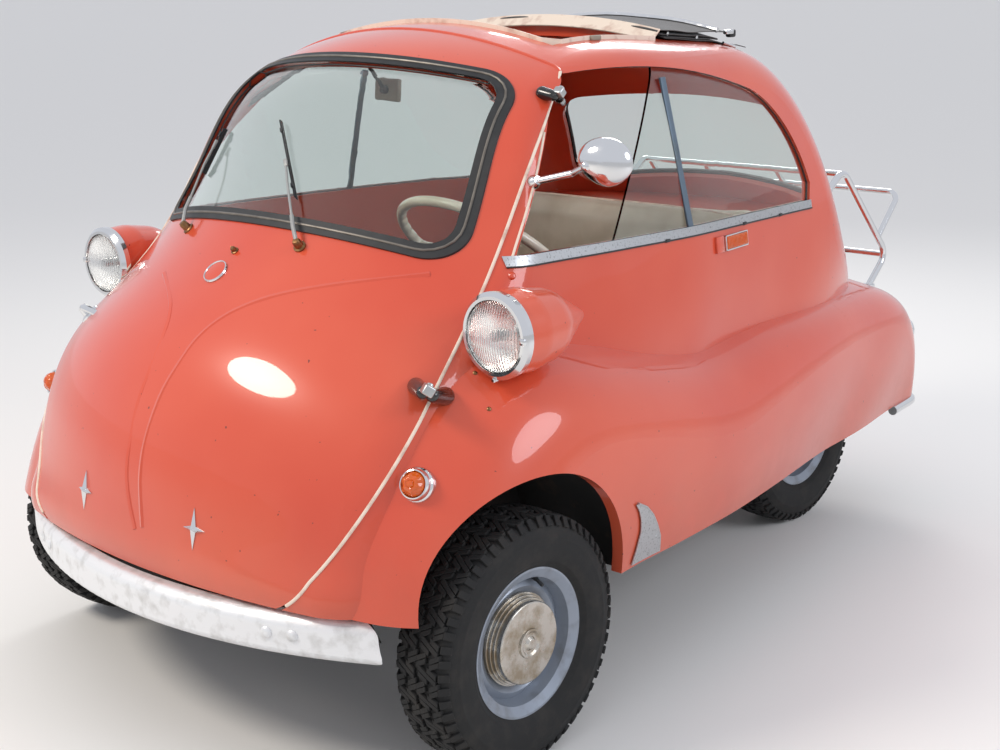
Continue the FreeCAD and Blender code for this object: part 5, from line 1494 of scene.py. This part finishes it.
class BUBBLECAR_OT_inside(bpy.types.Operator):
    """Fit the inside: the driving mirror on its arm, and the instrument on the dash"""
    bl_idname = "bubblecar.inside"
    bl_label = "Cabin fittings"

    MIRROR = (-150.0, -330.0, 1196.0)
    DIAL = (-40.0, -640.0, 905.0)

    def execute(self, context):
        head, arm = blanks(2)
        centre = at(*self.MIRROR)
        face = stand(centre, Vector((0.25, 0.95, -0.1)), UP)
        padded_bar(head, face, (0.105, 0.052, 0.012), 0.005, 3)
        ceiling = skin("roof_panel", "door_shell").ray_cast(centre + Vector((0, -0.03, 0)), Vector((0, -0.55, 1)))[0]
        bent_rod(arm, [ceiling, ceiling.lerp(centre, 0.45) + Vector((0, -0.012, 0)),
                       centre + Vector((0, -0.012, 0))], 0.0045, smooth=True, rings=3)
        turned(arm, "driving_mirror_ball", centre + Vector((0, -0.012, 0)), Vector((0, 1, 0)), 20)
        piece("driving_mirror", head, "door", "trim_card")
        piece("driving_mirror_arm", arm, "door", "hinge_lacquer")
        case, face_disc = blanks(2)
        dial = at(*self.DIAL)
        look = Vector((0, 0.94, 0.34)).normalized()
        turned(case, "instrument_case", dial, look, 40)
        turned(face_disc, "instrument_face", dial, look, 40)
        bent_rod(case, [dial - look * 0.02, at(self.DIAL[0], self.DIAL[1] - 20, 878)], 0.014)
        piece("instrument_case", case, "door", "old_chrome")
        piece("instrument_face", face_disc, "door", "dial_black")
        return {"FINISHED"}


class BUBBLECAR_OT_small(bpy.types.Operator):
    """Fix the stone guards, bumper bolts, body studs and plug, and the blank rear plate with its lamp"""
    bl_idname = "bubblecar.small"
    bl_label = "Guards, bolts, studs and plate"

    BOLTS = [(266, 632), (292, 636)]
    STUDS = [(472, 327), (475, 373), (489, 409)]
    PLUG = (512, 276)
    # Columns: height, y of the front and of the rear edge of a stone guard
    GUARD = [(318, -503, -403), (354, -490, -410), (385, -483, -428), (410, -487, -446), (431, -496, -469),
             (447, -508, -500)]
    GUARD_SCREW = (-425, 358)
    PLATE_HEIGHT = 600.0

    def stone_guards(self, left):
        """The fins of sheet metal behind the front wheels, flanged along their rear edge."""
        fin, rim = blanks(2)

        def spot(share, along):
            rows = self.GUARD
            z = rows[0][0] + (rows[-1][0] - rows[0][0]) * along
            low = max(index for index in range(len(rows) - 1) if rows[index][0] <= z)
            part = (z - rows[low][0]) / (rows[low + 1][0] - rows[low][0])
            front, rear = (rows[low][k] + (rows[low + 1][k] - rows[low][k]) * part for k in (1, 2))
            place, out = flank(left, front + (rear - front) * share, z)
            return place + out * 0.0022

        laid(fin, 12, 30, spot, 0.0022)
        bent_rod(rim, [spot(1.0, step / 24) for step in range(25)], 0.003)
        place, out = flank(left, *self.GUARD_SCREW)
        turned(rim, "guard_screw", place, out, 16)
        mirror_across(fin, rim)
        piece("stone_guard_fins", fin, "root", "weathered_aluminium",
              stands_for=("stone_guards",))
        piece("stone_guard_rims", rim, "root", "weathered_aluminium",
              stands_for=("stone_guards",))

    def execute(self, context):
        bumper, left = skin("front_bumper"), skin("side_left")
        self.stone_guards(left)
        bolts, studs, plug, plate, backing, lamp = blanks(6)
        fitted(bolts, "bumper_bolt", bumper, self.BOLTS, 24)
        fitted(studs, "stud", left, self.STUDS, 14)
        fitted(plug, "plug", left, [self.PLUG], 20)
        mirror_across(bolts, studs)
        piece("bumper_bolts", bolts, "root", "brushed_on_silver")
        piece("body_studs", studs, "root", "yellow_brass")
        piece("body_plug", plug, "root", "coral_enamel")
        tail = skin("tail_panel", "rear_panel")
        place, out = cast(tail, at(0, 1600, self.PLATE_HEIGHT), Vector((0, -1, 0)))
        flat = stand(place + out * 0.012, out, UP)
        bars(plate, flat, [((0, 0, 3), (300, 190, 3), 1.2)])
        bars(backing, flat, [
            ((0, 0, -3), (312, 202, 8), 3), ((-100, 0, -14), (30, 30, 20), 4), ((100, 0, -14), (30, 30, 20), 4)])
        bars(lamp, flat, [((0, 117, 6), (85, 28, 36), 9)], 3)
        piece("rear_plate", plate, "root", "plate_white")
        piece("rear_plate_backing", backing, "root", "seal_rubber")
        piece("rear_plate_lamp", lamp, "root", "old_chrome")
        return {"FINISHED"}


class BUBBLECAR_OT_stage(bpy.types.Operator):
    """Set up the studio: pale floor, soft lights, even sky and the photograph's camera"""
    bl_idname = "bubblecar.stage"
    bl_label = "Studio and camera"

    FLOOR_SIZE = 200.0
    FLOOR_GAP = 0.0004
    FAR_CLIP = 500.0
    # Columns: name, place, aim, size, share of the key light's power, colour
    LIGHTS = [
        ("key", (-1.3, -3.6, 3.6), (0.1, -0.3, 0.6), (1.6, 1.2), 1.0, "#FFF6EA"),
        ("side", (3.9, 0.6, 2.6), (0.0, 0.0, 0.6), (2.4, 1.6), 0.5, "#F2F6FF"),
        ("back", (-1.8, 3.4, 3.2), (0.0, 0.3, 0.9), (2.0, 1.2), 0.4, "#FFFFFF"),
    ]

    def world(self, strength):
        """Even grey light on the car, and plain white where the camera, or a ray through glass, looks past it."""
        made = bpy.data.worlds.new("studio")
        bpy.context.scene.world = made
        made.use_nodes = True
        tree = made.node_tree
        tree.nodes.clear()
        path = add(tree, "LightPath")
        seen_rays = add(tree, "Math", {0: path.outputs["Is Camera Ray"], 1: path.outputs["Is Transmission Ray"]},
                        operation="MAXIMUM")
        soft = add(tree, "Background", {"Color": linear("#F3F6FF"), "Strength": strength})
        white = add(tree, "Background", {"Color": (1.0, 1.0, 1.0, 1.0), "Strength": 1.0})
        mixed = add(tree, "MixShader", {0: seen_rays.outputs[0], 1: soft.outputs[0], 2: white.outputs[0]})
        add(tree, "OutputWorld", {"Surface": mixed.outputs[0]})

    def light(self, name, place, aim, size, power, colour):
        """One large soft area light aimed at a point."""
        data = bpy.data.lights.new(name, "AREA")
        data.shape = "ELLIPSE"
        data.size, data.size_y = size
        data.energy = power
        data.color = linear(colour)[:3]
        made = bpy.data.objects.new(name, data)
        bpy.context.scene.collection.objects.link(made)
        made.location = place
        made.rotation_euler = (Vector(aim) - Vector(place)).to_track_quat("-Z", "Y").to_euler()

    def execute(self, context):
        sizes = context.scene.bubble_car_sizes
        shape = bmesh.new()
        bmesh.ops.create_circle(shape, cap_ends=True, segments=96, radius=self.FLOOR_SIZE,
                                matrix=Matrix.Translation((0, 0, -self.FLOOR_GAP)))
        mesh = bpy.data.meshes.new("floor")
        shape.to_mesh(mesh)
        shape.free()
        mesh.materials.append(finish("studio_floor"))
        floor = bpy.data.objects.new("floor", mesh)
        context.scene.collection.objects.link(floor)
        self.world(sizes.world_strength)
        for name, place, aim, size, share, colour in self.LIGHTS:
            self.light(name, place, aim, size, sizes.key_power * share, colour)
        right, up, forward = camera_axes()
        data = bpy.data.cameras.new("photo_camera")
        data.lens, data.sensor_width = CAMERA_LENS, SENSOR
        data.clip_end = self.FAR_CLIP
        camera = bpy.data.objects.new("photo_camera", data)
        context.scene.collection.objects.link(camera)
        place = Matrix((right, up, -forward)).transposed().to_4x4()
        place.translation = CAMERA_PLACE
        camera.matrix_world = place
        context.scene.camera = camera
        context.scene.view_settings.view_transform = "Standard"
        return {"FINISHED"}


STEPS = (
    BUBBLECAR_OT_paint, BUBBLECAR_OT_seam, BUBBLECAR_OT_screen, BUBBLECAR_OT_ornaments, BUBBLECAR_OT_lamps,
    BUBBLECAR_OT_hinges, BUBBLECAR_OT_mirror, BUBBLECAR_OT_tyres, BUBBLECAR_OT_seat,
    BUBBLECAR_OT_steering_wheel, BUBBLECAR_OT_windows, BUBBLECAR_OT_roof, BUBBLECAR_OT_inside,
    BUBBLECAR_OT_small, BUBBLECAR_OT_stage,
)


class BUBBLECAR_PT_panel(bpy.types.Panel):
    """Colours, sizes and the steps that build the car's looks, in their order"""
    bl_idname = "BUBBLECAR_PT_panel"
    bl_label = "Bubble car"
    bl_space_type = "VIEW_3D"
    bl_region_type = "UI"
    bl_category = "Bubble car"

    def draw(self, context):
        looks = context.scene.bubble_car
        sizes = context.scene.bubble_car_sizes
        for group in (looks, sizes):
            box = self.layout.box()
            for name in group.__annotations__:
                box.prop(group, name)
        for step in STEPS:
            self.layout.operator(step.bl_idname)


CLASSES = (BubbleCarLooks, BubbleCarSizes, *STEPS, BUBBLECAR_PT_panel)


def register():
    for kind in CLASSES:
        bpy.utils.register_class(kind)
    bpy.types.Scene.bubble_car = PointerProperty(type=BubbleCarLooks)
    bpy.types.Scene.bubble_car_sizes = PointerProperty(type=BubbleCarSizes)


def unregister():
    del bpy.types.Scene.bubble_car_sizes
    del bpy.types.Scene.bubble_car
    for kind in reversed(CLASSES):
        bpy.utils.unregister_class(kind)


def main():
    register()
    bpy.ops.bubblecar.paint()
    bpy.ops.bubblecar.seam()
    bpy.ops.bubblecar.screen()
    bpy.ops.bubblecar.ornaments()
    bpy.ops.bubblecar.lamps()
    bpy.ops.bubblecar.hinges()
    bpy.ops.bubblecar.mirror()
    bpy.ops.bubblecar.tyres()
    bpy.ops.bubblecar.seat()
    bpy.ops.bubblecar.steering_wheel()
    bpy.ops.bubblecar.windows()
    bpy.ops.bubblecar.roof()
    bpy.ops.bubblecar.inside()
    bpy.ops.bubblecar.small()
    bpy.ops.bubblecar.stage()


if __name__ == "__main__":
    main()
